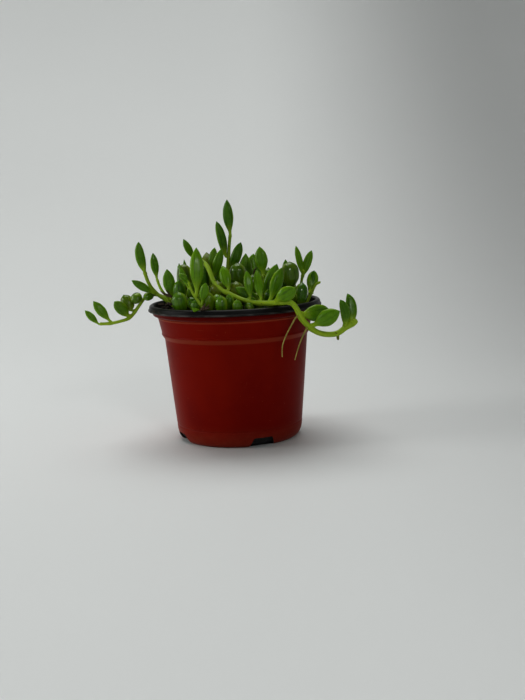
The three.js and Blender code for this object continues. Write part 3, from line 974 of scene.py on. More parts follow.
def blade_width(path, base, form, half):
    """Half width along a blade's path, from its outline."""
    shares, _ = run_shares(path)
    start = np.linalg.norm(path - base, axis=1).argmin()
    blade = np.clip((shares - shares[start]) / (1 - shares[start]), 0, 1)
    outline = smooth_path(np.array(OUTLINES[form], float), 0.01)
    width = np.interp(blade, outline[:, 0], outline[:, 1]) * half
    before = np.arange(len(path)) < start
    collar = 1 + 0.35 * (1 - shares / max(shares[start], 1e-6))
    return np.where(before, outline[0, 1] * half * collar, width), blade


def add_blade(piece, foot, base, tip, across, wide, thick, form, tone, settings, bow=None,
              finish=0, sink=None):
    """One leaf or bead. With a sink it is left out where others are in its way."""
    bow = np.zeros(3) if bow is None else bow
    path = blade_path(foot, base, tip, bow, settings.leaf_step)
    width, blade = blade_width(path, base, form, wide / 2)
    depth, _ = blade_width(path, base, form, thick / 2)
    foot_half = OUTLINES[form][0][1] * wide / 2
    depth = np.maximum(depth, np.minimum(width, foot_half))
    taken = blade > 0.08
    if sink is not None and not room.clear(path[taken][::3], depth[taken][::3], sink):
        return False
    edge, flat, crease = SECTIONS[form]
    groove = crease * np.sin(math.pi * np.clip(blade, 0, 1)) ** 2
    piece.add(*sweep(path, width, depth, across, settings.leaf_sides, edge, flat, groove),
              tone, finish)
    room.take(path[taken][::2], 0.5 * (width + depth)[taken][::2])
    return True


def width_axis(base, tip, twist):
    """The width axis of a leaf, turned a little about its own length."""
    along = unit(tip - base)
    facing = np.array((0.0, -1.0, 0.0))
    facing = unit(facing - along * facing.dot(along))
    across = np.cross(along, facing)
    return across * math.cos(twist) + facing * math.sin(twist)


def frame_blade(name):
    """Base, tip, width and thickness of a frame leaf or bead."""
    base, tip, points = blade_ends(name)
    stem = name.rsplit("_leaf_", 1)[0] + "_stem"
    if stem != name + "_stem":
        path, _ = stem_path(stem)
        if np.linalg.norm(path - tip, axis=1).min() < np.linalg.norm(path - base, axis=1).min():
            base, tip = tip, base
    across = width_axis(base, tip, 0.0)
    facing = np.cross(across, unit(tip - base))
    wide, thick = (np.ptp(points @ axis) for axis in (across, facing))
    return base, tip, wide, thick


def build_frame_leaf(name, settings):
    """A leaf of the frame as a fleshy blade that grows out of its stem."""
    rng = draws(name)
    base, tip, wide, thick = frame_blade(name)
    path, _ = stem_path(name.rsplit("_leaf_", 1)[0] + "_stem")
    at = np.linalg.norm(path - base, axis=1).argmin()
    if name in EARLY_FEET:
        at = len(path) - 1 - round(EARLY_FEET[name] * MM / STEM_ROW)
        base = path[at] + 0.35 * (base - path[at])
    if name in MOVED_FEET:
        base = base + np.array(MOVED_FEET[name]) * MM
        at = np.linalg.norm(path - base, axis=1).argmin()
    tip = tip + np.array(MOVED_TIPS.get(name, (0.0, 0.0, 0.0))) * MM
    growing = unit(np.gradient(path, axis=0))[at]
    last = at >= len(path) - 2
    foot = path[-3] if last else path[max(at - 2, 0)]
    length = np.linalg.norm(tip - base)
    away = unit(tip - base)
    out = away - growing * away.dot(growing)
    out = out - away * out.dot(away)
    out = unit(out) if np.linalg.norm(out) > 1e-3 else np.array((rng.choice((-1, 1)), 0.0, 0.0))
    bow = out * length * rng.uniform(-0.012, 0.012)
    if name in BOWS:
        bow = np.array(BOWS[name]) * MM
    form = next((form for form, names in LEAF_FORMS.items() if name in names), "leaf")
    if form == "bead":
        tip, wide, thick = base + 0.84 * (tip - base), 1.12 * wide, 1.12 * thick
    tint, warm = TONES.get(name, (rng.uniform(0.36, 0.66), 0.0))
    across = width_axis(base, tip, rng.uniform(-0.4, 0.4))
    finish = bead_finish(settings) if form == "bead" else leaf_finish(settings)
    piece = Piece(name + "_fine", "leaf", finish)
    add_blade(piece, foot, base, tip, across, wide, thick, form, (tint, warm, 0.0), settings, bow)
    return piece.make(name)




def build_frame_bead(name, settings):
    """A bead of the frame that stands on the mix, with its stripes and pointed tip."""
    rng = draws(name)
    base, tip, wide, thick = frame_blade(name)
    form = "stalked" if np.linalg.norm(tip - base) > 20 * MM else "bead"
    tip = tip + np.array(MOVED_TIPS.get(name, (0.0, 0.0, 0.0))) * MM
    tint, warm = TONES.get(name, (rng.uniform(0.3, 0.6), 0.0))
    across = width_axis(base, tip, rng.uniform(-0.5, 0.5))
    foot = base - np.array((0.0, 0.0, 1.5 * MM))
    piece = Piece(name + "_fine", "bead", bead_finish(settings))
    add_blade(piece, foot, base, tip, across, wide, thick, form, (tint, warm, 0.0), settings)
    return piece.make(name)


def lip_point(x, y, above):
    """A point from the lip's centre, in millimetres across and above the lip."""
    return np.array((x * MM, y * MM, LIP_TOP + above * MM))


# Small leaves and beads on the frame's stems: share along the stem, tip from the lip's
# centre, width, thickness, form, brightness and olive.
SIDE_LEAVES = {
    "left_trailer_stem": [
        (0.56, (-57.0, -12.5, 6.6), 7.0, 6.6, "bead", 0.34, 0.30),
        (0.44, (-50.6, -14.0, 5.4), 4.8, 4.6, "bead", 0.50, 0.05),
    ],
    "front_left_shoot_stem": [
        (0.53, (-15.0, -41.5, 14.5), 5.2, 3.4, "leaf", 0.66, 0.0),
        (0.89, (-29.0, -33.0, 23.0), 3.4, 2.6, "leaf", 0.60, 0.0),
        (0.24, (-23.0, -45.6, 1.9), 3.2, 2.4, "leaf", 0.85, 0.0),
    ],
    "inner_left_shoot_stem": [
        (0.39, (-29.8, -26.0, 15.5), 7.4, 7.0, "bead", 0.30, 0.0),
    ],
    "mid_right_shoot_stem": [
        (0.86, (11.5, -14.0, 27.5), 4.0, 3.0, "leaf", 0.40, 0.0),
    ],
    "right_edge_shoot_stem": [
        (0.60, (45.6, -9.0, 16.2), 4.2, 3.0, "leaf", 0.10, 0.0),
    ],
    "back_shoot_stem": [
        (0.67, (-3.0, 32.0, 18.0), 7.0, 4.6, "leaf", 0.45, 0.0),
    ],
    "back_left_shoot_stem": [
        (0.73, (-33.0, 17.0, 20.0), 6.0, 4.0, "leaf", 0.40, 0.0),
    ],
    "back_trailer_stem": [
        (0.65, (36.0, 54.0, 3.0), 6.6, 4.6, "leaf", 0.50, 0.0),
        (0.48, (16.0, 50.0, 14.0), 6.0, 4.2, "leaf", 0.42, 0.0),
    ],
}




def build_side_leaves(stem, settings):
    """The small extra leaves and beads on one frame stem, as one piece."""
    path, _ = stem_path(stem)
    growing = unit(np.gradient(path, axis=0))
    shares, _ = run_shares(path)
    piece = Piece(stem.replace("_stem", "_side_leaves"), "leaf", leaf_finish(settings),
                  bead_finish(settings))
    for at, tip, wide, thick, form, tint, warm in SIDE_LEAVES[stem]:
        i = int(np.abs(shares - at).argmin())
        end = lip_point(*tip)
        side = end - path[i]
        side = unit(side - growing[i] * side.dot(growing[i]))
        base = path[i] + side * 1.7 * MM
        across = width_axis(base, end, 0.2)
        add_blade(piece, path[max(i - 2, 0)], base, end, across, wide * MM, thick * MM, form,
                  (tint, warm, 0.0), settings, finish=1 if form == "bead" else 0)
    return piece.make()


def mix_height(radius, settings):
    """Height of the mix at a distance from the pot's centre."""
    level = LIP_TOP - settings.below_lip
    centre = 1 - min(radius / MIX_TOP.x, 1.0)
    return level + (MIX_TOP.z - level) * math.sin(centre * math.pi / 2)


def on_mix(x, y, settings, lift=0.0):
    """A point on the surface of the mix."""
    return np.array((x, y, mix_height(math.hypot(x, y), settings) + lift))


# Beads and leaves that stand on the mix: foot and tip from the lip's centre, width, thickness,
# form, brightness and olive.
STANDING = [
    ((14.0, -22.0, -2.2), (4.0, -25.5, 8.0), 6.6, 6.4, "bead", 0.25, 0.0),
    ((-16.0, 33.0, -3.4), (-18.0, 37.0, 8.0), 8.0, 7.6, "bead", 0.35, 0.0),
    ((-2.5, -34.0, -4.0), (-3.0, -37.0, 7.5), 5.4, 5.2, "bead", 0.45, 0.0),
    ((-8.5, -19.5, -2.0), (-9.2, -22.5, 13.8), 9.8, 9.2, "bead", 0.62, 0.75),
    ((2.0, -22.0, -2.0), (1.0, -24.0, 13.4), 9.0, 8.4, "bead", 0.50, 0.70),
    ((5.5, 2.0, -1.0), (7.5, 0.0, 27.0), 8.4, 6.0, "leaf", 0.80, 0.0),
    ((-30.0, 3.0, -3.0), (-31.0, 0.0, 23.0), 4.6, 3.4, "leaf", 0.75, 0.0),
    ((-26.0, 3.0, -3.0), (-28.0, 0.0, 25.0), 4.2, 3.2, "leaf", 0.50, 0.0),
    ((-16.0, -12.0, 2.0), (-18.0, -13.0, 26.0), 6.5, 4.6, "leaf", 0.10, 0.0),
    ((21.0, -25.0, -3.0), (19.0, -30.0, 9.0), 7.4, 6.8, "bead", 0.12, 0.0),
    ((27.0, -24.0, -3.0), (27.5, -29.0, 9.5), 7.4, 6.8, "bead", 0.14, 0.0),
    ((8.5, -31.0, -4.0), (9.0, -35.5, 5.5), 6.4, 6.0, "bead", 0.20, 0.0),
    ((15.0, -28.5, 1.0), (0.6, -27.5, 10.0), 6.0, 3.6, "broad", 0.62, 0.0),
    ((31.5, -9.0, -2.0), (29.6, -9.5, 23.2), 7.0, 4.4, "leaf", 0.55, 0.0),
    ((-22.0, -34.0, -4.0), (-21.0, -37.5, 5.0), 5.6, 5.2, "bead", 0.28, 0.0),
]


# More of the same that fill the middle. One that would cross another is left out.
FILLING = [
    ((-11.0, 14.0, -1.5), (-12.0, 13.0, 17.0), 8.0, 7.4, "bead", 0.20, 0.20),
    ((-3.0, 13.0, -1.0), (-4.0, 12.0, 19.0), 8.4, 6.4, "leaf", 0.30, 0.0),
    ((4.5, 12.0, -1.0), (5.5, 11.0, 17.5), 8.6, 8.0, "bead", 0.20, 0.15),
    ((12.0, 13.0, -1.0), (13.0, 12.0, 19.0), 8.0, 6.0, "leaf", 0.24, 0.0),
    ((19.5, 9.0, -1.5), (20.5, 8.0, 18.0), 8.0, 7.4, "bead", 0.25, 0.25),
    ((27.0, 8.0, -2.0), (28.5, 7.0, 17.0), 7.4, 5.4, "leaf", 0.35, 0.0),
    ((1.5, -8.0, -1.0), (0.5, -9.5, 15.0), 8.0, 7.6, "bead", 0.34, 0.40),
    ((10.0, -9.0, -1.0), (11.0, -10.0, 16.0), 8.0, 7.4, "bead", 0.28, 0.20),
    ((22.0, -6.0, -1.5), (23.0, -7.0, 17.0), 7.6, 5.6, "leaf", 0.30, 0.0),
    ((-20.0, 8.0, -2.0), (-21.0, 7.0, 17.0), 7.6, 7.0, "bead", 0.18, 0.35),
    ((-28.0, -6.0, -2.5), (-29.5, -7.0, 14.0), 7.0, 5.2, "leaf", 0.30, 0.0),
    ((33.0, -18.0, -3.0), (35.0, -19.5, 12.0), 7.0, 6.6, "bead", 0.16, 0.0),
]


def build_standing(settings):
    """Beads and single leaves that stand on the mix among the frame's shoots."""
    for number, (foot, tip, wide, thick, form, tint, warm) in enumerate(STANDING + FILLING, 1):
        start, end = lip_point(*foot), lip_point(*tip)
        base = start + (end - start) * 0.12
        finish = bead_finish(settings) if form == "bead" else leaf_finish(settings)
        piece = Piece(f"standing_{form}_{number}", "bead" if form == "bead" else "leaf", finish)
        rng = draws(piece.name)
        across = width_axis(base, end, rng.uniform(-0.5, 0.5))
        sink = 1.2 * MM if number > len(STANDING) else None
        if add_blade(piece, start, base, end, across, wide * MM, thick * MM, form,
                     (tint, warm, 0.0), settings, sink=sink):
            piece.make()


def canopy(radius):
    """Highest place for an added tip, which falls off towards the lip."""
    return LIP_TOP + (19.0 - 11.0 * (radius / (44 * MM)) ** 2) * MM


def spread(direction, tilt, turn):
    """A direction tilted away from another one and turned about it."""
    helper = np.array((1.0, 0.0, 0.0)) if abs(direction[0]) < 0.8 else np.array((0.0, 1.0, 0.0))
    first = unit(np.cross(direction, helper))
    second = np.cross(direction, first)
    side = first * math.cos(turn) + second * math.sin(turn)
    return direction * math.cos(tilt) + side * math.sin(tilt), side


def build_young_shoot(number, x, y, settings, mix):
    """A short young shoot with a few leaves in a spiral."""
    rng = draws(f"young shoot {number}")
    radius = math.hypot(x, y)
    top = min(canopy(radius) - 9 * MM, LIP_TOP + rng.uniform(2, 10) * MM)
    foot = on_mix(x, y, mix, -4 * MM)
    outward = np.array((x, y, 0.0)) / max(radius, 1e-4)
    head = np.array((x, y, top)) + outward * rng.uniform(-1, 3) * MM
    middle = (foot + head) / 2 + np.array((rng.uniform(-1, 1), rng.uniform(-1, 1), 0)) * MM
    path = smooth_path([foot, middle, head], settings.stem_step)
    thickness = rng.uniform(0.75, 0.95) * MM
    if not room.clear(path[8:], np.full(len(path) - 8, thickness), 0.4 * MM):
        return None
    piece = Piece(f"young_shoot_{number}", "leaf", stem_finish(settings), leaf_finish(settings))
    growing = unit(path[-1] - path[-4])
    turn = rng.uniform(0, 2 * math.pi)
    count = rng.randint(3, 5)
    made = 0
    for k in range(count + 1):
        last = k == count
        tilt = rng.uniform(0.05, 0.2) if last else rng.uniform(0.5, 0.95)
        length = rng.uniform(8, 12.5) * MM
        wide = length * rng.uniform(0.42, 0.56)
        thick = wide * rng.uniform(0.62, 0.8)
        at = len(path) - 1 if last else int(len(path) * (0.5 + 0.45 * k / count))
        at = min(at, len(path) - 1)
        tone = (rng.uniform(0.15, 0.6), rng.choice((0.0, 0.0, 0.0, 0.3)), 0.0)
        for attempt in range(7):
            way, side = spread(growing, tilt, turn + attempt * 0.9)
            base = path[at] + side * (0.0 if last else 1.3 * MM)
            tip = base + way * length
            if tip[2] > canopy(math.hypot(tip[0], tip[1])) + 2 * MM:
                continue
            bow = side * length * rng.uniform(0.0, 0.05)
            across = np.cross(way, side)
            if add_blade(piece, path[max(at - 2, 0)], base, tip, across, wide, thick, "leaf", tone,
                         settings, bow, 1, 0.8 * MM):
                made += 1
                break
        turn += 2.4
    if made < 2:
        return None
    add_stem(piece, path, thickness, [], settings, (rng.uniform(0.3, 0.8), 0.0, 0.0))
    return piece.make()


def build_runner(number, settings, mix):
    """A thin stem that creeps over the mix with a bead every few millimetres."""
    rng = draws(f"runner {number}")
    heading = rng.uniform(0, 2 * math.pi)
    x, y = (rng.uniform(-26, 26) * MM for _ in range(2))
    line = [on_mix(x, y, mix, -3 * MM)]
    limit = MIX_TOP.x - 5 * MM
    for _ in range(rng.randint(8, 12)):
        heading += rng.uniform(-0.5, 0.5)
        if math.hypot(x, y) > limit - 8 * MM:
            inward = math.atan2(-y, -x)
            heading += 0.8 * math.sin(inward - heading)
        x += 4.5 * MM * math.cos(heading)
        y += 4.5 * MM * math.sin(heading)
        reach = math.hypot(x, y)
        if reach > limit:
            x, y = x * limit / reach, y * limit / reach
        line.append(on_mix(x, y, mix, rng.uniform(0.6, 1.6) * MM))
    path = smooth_path(line, settings.stem_step)
    thickness = rng.uniform(0.6, 0.8) * MM
    piece = Piece(f"bead_string_{number}", "bead", stem_finish(settings), bead_finish(settings))
    growing = unit(np.gradient(path, axis=0))
    made = []
    at = 8
    while at < len(path) - 2:
        for _ in range(8):
            length = rng.uniform(7.0, 10.5) * MM
            wide = length * rng.uniform(0.66, 0.86)
            up, _ = spread(np.array((0.0, 0.0, 1.0)), rng.uniform(0.15, 1.15), rng.uniform(0, 6.28))
            side = unit(up - growing[at] * up.dot(growing[at]))
            base = path[at] + side * rng.uniform(1.4, 3.4) * MM
            tip = base + up * length
            reach = math.hypot(tip[0], tip[1])
            if reach > MIX_TOP.x - 1 * MM or tip[2] > canopy(reach):
                continue
            across = np.cross(up, side + np.array((0.01, 0.02, 0.0)))
            tone = (rng.uniform(0.1, 0.5), rng.choice((0.0, 0.0, 0.15, 0.5)), 0.0)
            if add_blade(piece, path[max(at - 2, 0)], base, tip, unit(across), wide, wide * 0.94,
                         "bead", tone, settings, None, 1, 0.5 * MM):
                made.append(path[at])
                break
        at += rng.randint(7, 11)
    if not made:
        return None
    add_stem(piece, path, thickness, made, settings, (rng.uniform(0.2, 0.7), 0.0, 0.0))
    return piece.make()


# ---- Pot and mix ----


def outside_corners(pot):
    """Outside of the pot from the flat underside to the neck: radius, height, rounding."""
    pad, foot = pot.lip_radius - pot.pad_inset, pot.lip_radius - pot.foot_inset
    band_top = pot.height - pot.band_top
    band_bottom = band_top - pot.band_depth
    foot_steps = 6
    corners = []
    for k in range(foot_steps + 1):
        turn = k / foot_steps * math.pi / 2
        corners.append((pad + (foot - pad) * math.sin(turn),
                        pot.foot_height * (1 - math.cos(turn)), 0.6 * MM))
    band_radius = pot.lip_radius - pot.band_inset
    neck = pot.lip_radius - pot.neck_inset
    groove, bead = 0.25 * MM, 0.25 * MM
    corners += [
        (foot - groove, pot.foot_height + 0.5 * MM, 0.3 * MM),
        (foot + 0.1 * MM, pot.foot_height + 1.3 * MM, 0.4 * MM),
        (pot.lip_radius - pot.shoulder_inset, band_bottom - pot.shoulder_height, 0.5 * MM),
        (band_radius - pot.band_taper + bead, band_bottom, 0.5 * MM),
        (band_radius - pot.band_taper, band_bottom + 0.8 * MM, 0.4 * MM),
        (band_radius - 0.2 * MM, band_top - 1.0 * MM, 0.3 * MM),
        (band_radius + bead, band_top - 0.4 * MM, 0.25 * MM),
        (band_radius, band_top, 0.25 * MM),
        (neck - 0.2 * MM, band_top + 0.5 * MM, 0.3 * MM),
        (neck + 0.7 * MM, band_top + 1.1 * MM, 0.3 * MM),
        (neck + 0.9 * MM, pot.height - 3.7 * MM, 0.3 * MM),
    ]
    return corners


def lip_corners(pot):
    """The rolled lip from its underside, over its top, to the mouth."""
    top, widest, mouth = pot.height, pot.lip_radius, pot.lip_radius - pot.mouth_inset
    return [
        (widest - 0.6 * MM, top - 3.65 * MM, 0.25 * MM),
        (widest, top - 3.4 * MM, 0.25 * MM),
        (widest, top - 2.8 * MM, 0.4 * MM),
        (widest - 0.6 * MM, top - 2.3 * MM, 0.3 * MM),
        (widest - 0.7 * MM, top - 0.8 * MM, 0.9 * MM),
        (widest - 1.7 * MM, top, 0.7 * MM),
        (mouth + 0.6 * MM, top, 0.6 * MM),
        (mouth, top - 0.9 * MM, 0.6 * MM),
    ]


def inside_corners(pot):
    """The pot's inner face, one sheet in from the outside, from the floor to the mouth."""
    mouth = pot.lip_radius - pot.mouth_inset
    return [(min(r, mouth + pot.wall) - pot.wall, z + pot.wall, rounding)
            for r, z, rounding in outside_corners(pot)]


def notch_cutter(pot, index, finishes):
    """A block with sloped, rounded ends that cuts one drain notch."""
    below, outside = 1 * MM, 3 * MM
    foot = pot.lip_radius - pot.foot_inset
    outline = rounded([
        (0.0, -below, 0.0), (pot.notch_bottom / 2, -below, 0.0),
        (pot.notch_bottom / 2, 0.0, 0.3 * MM), (pot.notch_top / 2, pot.notch_height, 1.2 * MM),
        (0.0, pot.notch_height, 0.0),
    ])
    half = [tuple(point) for point in outline]
    ring = half + [(-x, z) for x, z in reversed(half[1:-1])]
    near, far = -(foot + outside), -(foot - pot.notch_depth)
    points = [(x, y, z) for y in (near, far) for x, z in ring]
    count = len(ring)
    faces = [tuple(range(count)), tuple(reversed(range(count, 2 * count)))]
    faces += [(k, k + count, (k + 1) % count + count, (k + 1) % count) for k in range(count)]
    mesh = bpy.data.meshes.new("notch")
    mesh.from_pydata(points, [], faces)
    mesh.polygons.foreach_set("material_index", [1] * len(faces))
    for finish in finishes:
        mesh.materials.append(finish)
    mesh.transform(Matrix.Rotation(pot.notch_angle + index * 2 * math.pi / pot.notch_count, 4, "Z"))
    cutter = bpy.data.objects.new("notch", mesh)
    bpy.context.scene.collection.objects.link(cutter)
    return cutter


def cut_notches(piece, pot):
    """Cuts the drain notches through the corner of wall and floor."""
    finishes = list(piece.data.materials)
    cutters = [notch_cutter(pot, index, finishes) for index in range(pot.notch_count)]
    for cutter in cutters:
        modifier = piece.modifiers.new("notch", "BOOLEAN")
        modifier.operation = "DIFFERENCE"
        modifier.solver = "EXACT"
        modifier.object = cutter
    graph = bpy.context.evaluated_depsgraph_get()
    cut = bpy.data.meshes.new_from_object(piece.evaluated_get(graph), depsgraph=graph)
    piece.modifiers.clear()
    piece.data = cut
    for cutter in cutters:
        bpy.data.objects.remove(cutter)
    cut.set_sharp_from_angle(angle=POT_EDGE)


def build_pot(pot):
    """The two-layer pot: brick red outside, black lip and inside, with drain notches."""
    outside = divided(rounded(outside_corners(pot)), 2 * MM)
    lip = divided(rounded([outside_corners(pot)[-1], *lip_corners(pot),
                           inside_corners(pot)[-1]]), 2 * MM)[1:-1]
    inside = divided(rounded(inside_corners(pot), 3), 3 * MM)[::-1]
    profile = [np.array((0.0, 0.0)), *outside, *lip, *inside, np.array((0.0, pot.wall))]
    points, faces = lathe(profile, POT_SEGMENTS)
    for point in points:
        reach = math.hypot(point[0], point[1])
        if reach > 20 * MM and point[2] > 1 * MM:
            wave = noise.noise(Vector((point[0] * 45, point[1] * 45, point[2] * 25)))
            point[:2] *= 1 + 0.0035 * wave * min(1.0, point[2] / (20 * MM))
    piece = Piece("nursery_pot", "pot_shell", pot_outside(pot), pot_inside(pot))
    piece.add(points, faces)
    red_rows = len(outside)
    per_segment = len(profile) - 1
    piece.finishes = [0 if i % per_segment <= red_rows else 1 for i in range(len(faces))]
    made = piece.make("pot")
    cut_notches(made, pot)
    return made


def build_mix(mix, pot):
    """The potting mix: a closed body under a lumpy surface."""
    floor = pot.wall + mix.gap
    level = pot.height - mix.below_lip
    side = [(r - mix.gap, z) for r, z, _ in inside_corners(pot)
            if floor + mix.gap < z < level - 1 * MM]
    rim = MIX_TOP.x
    rings = [rim * (1 - k / MIX_RINGS) for k in range(MIX_RINGS)]
    top = [(radius, mix_height(radius, mix)) for radius in rings]
    pad = pot.lip_radius - pot.pad_inset - pot.wall - mix.gap
    profile = [(0.0, floor), (pad, floor), *side, *top, (0.0, MIX_TOP.z)]
    points, faces = lathe([np.array(p) for p in profile], MIX_SEGMENTS)
    for point in points:
        if point[2] > level - 0.5 * MM:
            place = Vector(point) * 170
            lump = noise.noise(place) + 0.6 * noise.noise(place * 2.7) + 0.3 * noise.noise(place * 6)
            point[2] += mix.lumps * (lump - 0.35)
    piece = Piece("mix_bed", "potting_mix", peat_material(mix))
    piece.add(points, faces)
    return piece.make("potting_mix")


def chip(centre, reach, rng):
    """An uneven grain: a cube's corners and face centres pushed out by different amounts."""
    turned = Matrix.Rotation(rng.uniform(0, 6.28), 3, "Z")
    spin = turned @ Matrix.Rotation(rng.uniform(-0.8, 0.8), 3, "X")
    points = []
    for x in (-1, 1):
        for y in (-1, 1):
            for z in (-1, 1):
                wild = rng.uniform(0.45, 0.75)
                points.append(Vector((x * wild * reach[0], y * wild * reach[1], z * wild * reach[2])))
    for axis in range(3):
        for way in (-1, 1):
            point = Vector((0, 0, 0))
            point[axis] = way * reach[axis] * rng.uniform(0.7, 1.0)
            points.append(point)
    around = {8: (0, 1, 3, 2), 9: (4, 6, 7, 5), 10: (0, 4, 5, 1), 11: (2, 3, 7, 6),
              12: (0, 2, 6, 4), 13: (1, 5, 7, 3)}
    faces = [(middle, ring[k], ring[(k + 1) % 4]) for middle, ring in around.items() for k in range(4)]
    return [tuple(centre + np.array(spin @ p)) for p in points], faces


def build_grains(mix):
    """Loose bark, crumbs and a little perlite on the mix."""
    rng = draws("grains")
    piece = Piece("mix_grains", "potting_mix", grain_material(mix))
    for _ in range(mix.grains):
        reach = MIX_TOP.x * math.sqrt(rng.random()) * 0.985
        turn = rng.uniform(0, 2 * math.pi)
        scale = rng.uniform(0.35, 1.25) * MM
        shape = (scale * rng.uniform(1.0, 2.4), scale, scale * rng.uniform(0.5, 0.9))
        centre = on_mix(reach * math.cos(turn), reach * math.sin(turn), mix, 0.25 * scale)
        pale = 1.0 if rng.random() < 0.02 else 0.0
        points, faces = chip(centre, shape, rng)
        piece.add(points, faces, tone=(rng.random(), pale, 0.0))
    for _ in range(LOOSE_CHIPS):
        centre = lip_point(rng.uniform(-44, -34), rng.uniform(-27, -17), rng.uniform(-3.5, 2.2))
        shape = (rng.uniform(1.2, 3.0) * MM, rng.uniform(0.7, 1.4) * MM, rng.uniform(0.5, 1.0) * MM)
        points, faces = chip(centre, shape, rng)
        piece.add(points, faces, tone=(rng.uniform(0, 0.3), 0.0, 0.0))
    return piece.make(sharp=GRAIN_EDGE)


DRY_BITS = [  # start and end from the lip's centre, and half width
    ((-18.2, -44.5, 0.2), (-15.6, -46.0, 4.0), 0.85),
    ((-17.6, -44.8, 0.4), (-12.8, -45.8, 1.6), 0.95),
    ((-17.0, -44.2, 0.0), (-13.6, -44.6, 3.2), 0.7),
    ((-35.2, -24.0, 6.2), (-40.8, -23.6, 9.6), 0.8),
    ((-34.4, -24.4, 5.2), (-37.6, -24.6, 10.4), 0.6),
    ((11.0, -29.0, 17.0), (13.0, -31.0, 21.0), 0.6),
    ((-27.0, 22.0, -1.0), (-31.0, 25.0, 4.0), 0.6),
    ((20.0, 28.0, -2.0), (24.0, 31.0, 3.0), 0.6),
]


def build_dry_bits(settings):
    """Shrivelled old bracts at the feet of some shoots."""
    finish = fibre_material("dried bract", settings.dry, (0.035, 0.020, 0.006))
    piece = Piece("dried_bracts", "stem", finish)
    rng = draws("dried bracts")
    for start, end, half in DRY_BITS:
        a, b = lip_point(*start), lip_point(*end)
        bend = (a + b) / 2 + np.array([rng.uniform(-0.6, 0.6) * MM for _ in range(3)])
        path = smooth_path([a, bend, b], 0.25 * MM)
        shares, _ = run_shares(path)
        width = (0.15 + (half - 0.15) * np.sin(math.pi * (0.3 + 0.7 * shares))) * MM
        width *= np.array([rng.uniform(0.85, 1.15) for _ in path])
        piece.add(*sweep(path, width, width * 0.6, (1.0, 0.3, 0.1), 12))
    return piece.make()


def build_air_root(name, settings):
    """A thin root that hangs in the air under a trailing stem."""
    line, radius = stem_line(name)
    if line[0][2] < line[-1][2]:
        line = line[::-1]
    stem, _ = stem_path("right_trailer_stem")
    start = stem[np.linalg.norm(stem - line[0], axis=1).argmin()]
    path = smooth_path([start, *line], 0.4 * MM)
    shares, _ = run_shares(path)
    rng = draws(name)
    half = radius * (1.15 - 0.55 * shares) * np.array([rng.uniform(0.92, 1.08) for _ in path])
    finish = material_once("air root", lambda: fibre_material(
        "air root", settings.root, tuple(0.6 * c for c in settings.root)))
    piece = Piece(name + "_fine", "air_root", finish)
    piece.add(*sweep(path, half, half, (1.0, 0.2, 0.1), 10))
    return piece.make(name)


# ---- Stage ----


def build_floor(stage):
    """A pale round floor that curves up into a backdrop on every side."""
    bend = [k / FLOOR_STEPS * math.pi / 2 for k in range(FLOOR_STEPS + 1)]
    curve = [(stage.bowl_radius + stage.bowl_curve * math.sin(lean),
              stage.bowl_curve * (1 - math.cos(lean))) for lean in bend]
    rings = [(0.05, 0.0), (0.2, 0.0), *curve, (curve[-1][0], 1.9)]
    turn = [2 * math.pi * k / FLOOR_SEGMENTS for k in range(FLOOR_SEGMENTS)]
    points = [(r * math.cos(t), r * math.sin(t), z) for r, z in rings for t in turn] + [(0, 0, 0)]
    faces = []
    for k in range(FLOOR_SEGMENTS):
        after = (k + 1) % FLOOR_SEGMENTS
        faces.append((len(points) - 1, k, after))
        for i in range(len(rings) - 1):
            low, high = i * FLOOR_SEGMENTS, (i + 1) * FLOOR_SEGMENTS
            faces.append((low + k, high + k, high + after, low + after))
    mesh = bpy.data.meshes.new("floor")
    mesh.from_pydata(points, [], faces)
    mesh.shade_smooth()
    mesh.materials.append(paper_material(stage))
    floor = bpy.data.objects.new("floor", mesh)
    bpy.context.scene.collection.objects.link(floor)


def add_light(name, place, target, width, height, power):
    """A soft rectangular light that faces a target."""
    light = bpy.data.lights.new(name, "AREA")
    light.shape = "RECTANGLE"
    light.size, light.size_y = width, height
    light.energy = power
    lamp = bpy.data.objects.new(name, light)
    lamp.location = place
    lamp.rotation_euler = (Vector(target) - Vector(place)).to_track_quat("-Z", "Y").to_euler()
    bpy.context.scene.collection.objects.link(lamp)


def add_camera(stage):
    """The camera, in front of the pot and a little above it."""
    yaw, pitch, roll = stage.yaw, stage.pitch, stage.roll
    forward = Vector((math.sin(yaw) * math.cos(pitch), math.cos(yaw) * math.cos(pitch),
                      -math.sin(pitch)))
    right = Vector((math.cos(yaw), -math.sin(yaw), 0.0))
    up = right.cross(forward)
    across = math.cos(roll) * right + math.sin(roll) * up
    upward = -math.sin(roll) * right + math.cos(roll) * up
    data = bpy.data.cameras.new("camera")
    data.lens = stage.lens
    data.sensor_width = SENSOR_WIDTH
    data.clip_start = 0.01
    camera = bpy.data.objects.new("camera", data)
    turn = Matrix((across, upward, -forward)).transposed().to_4x4()
    camera.matrix_world = Matrix.Translation((0.0, -stage.distance, stage.eye_height)) @ turn
    bpy.context.scene.collection.objects.link(camera)
    bpy.context.scene.camera = camera


# ---- Operators ----


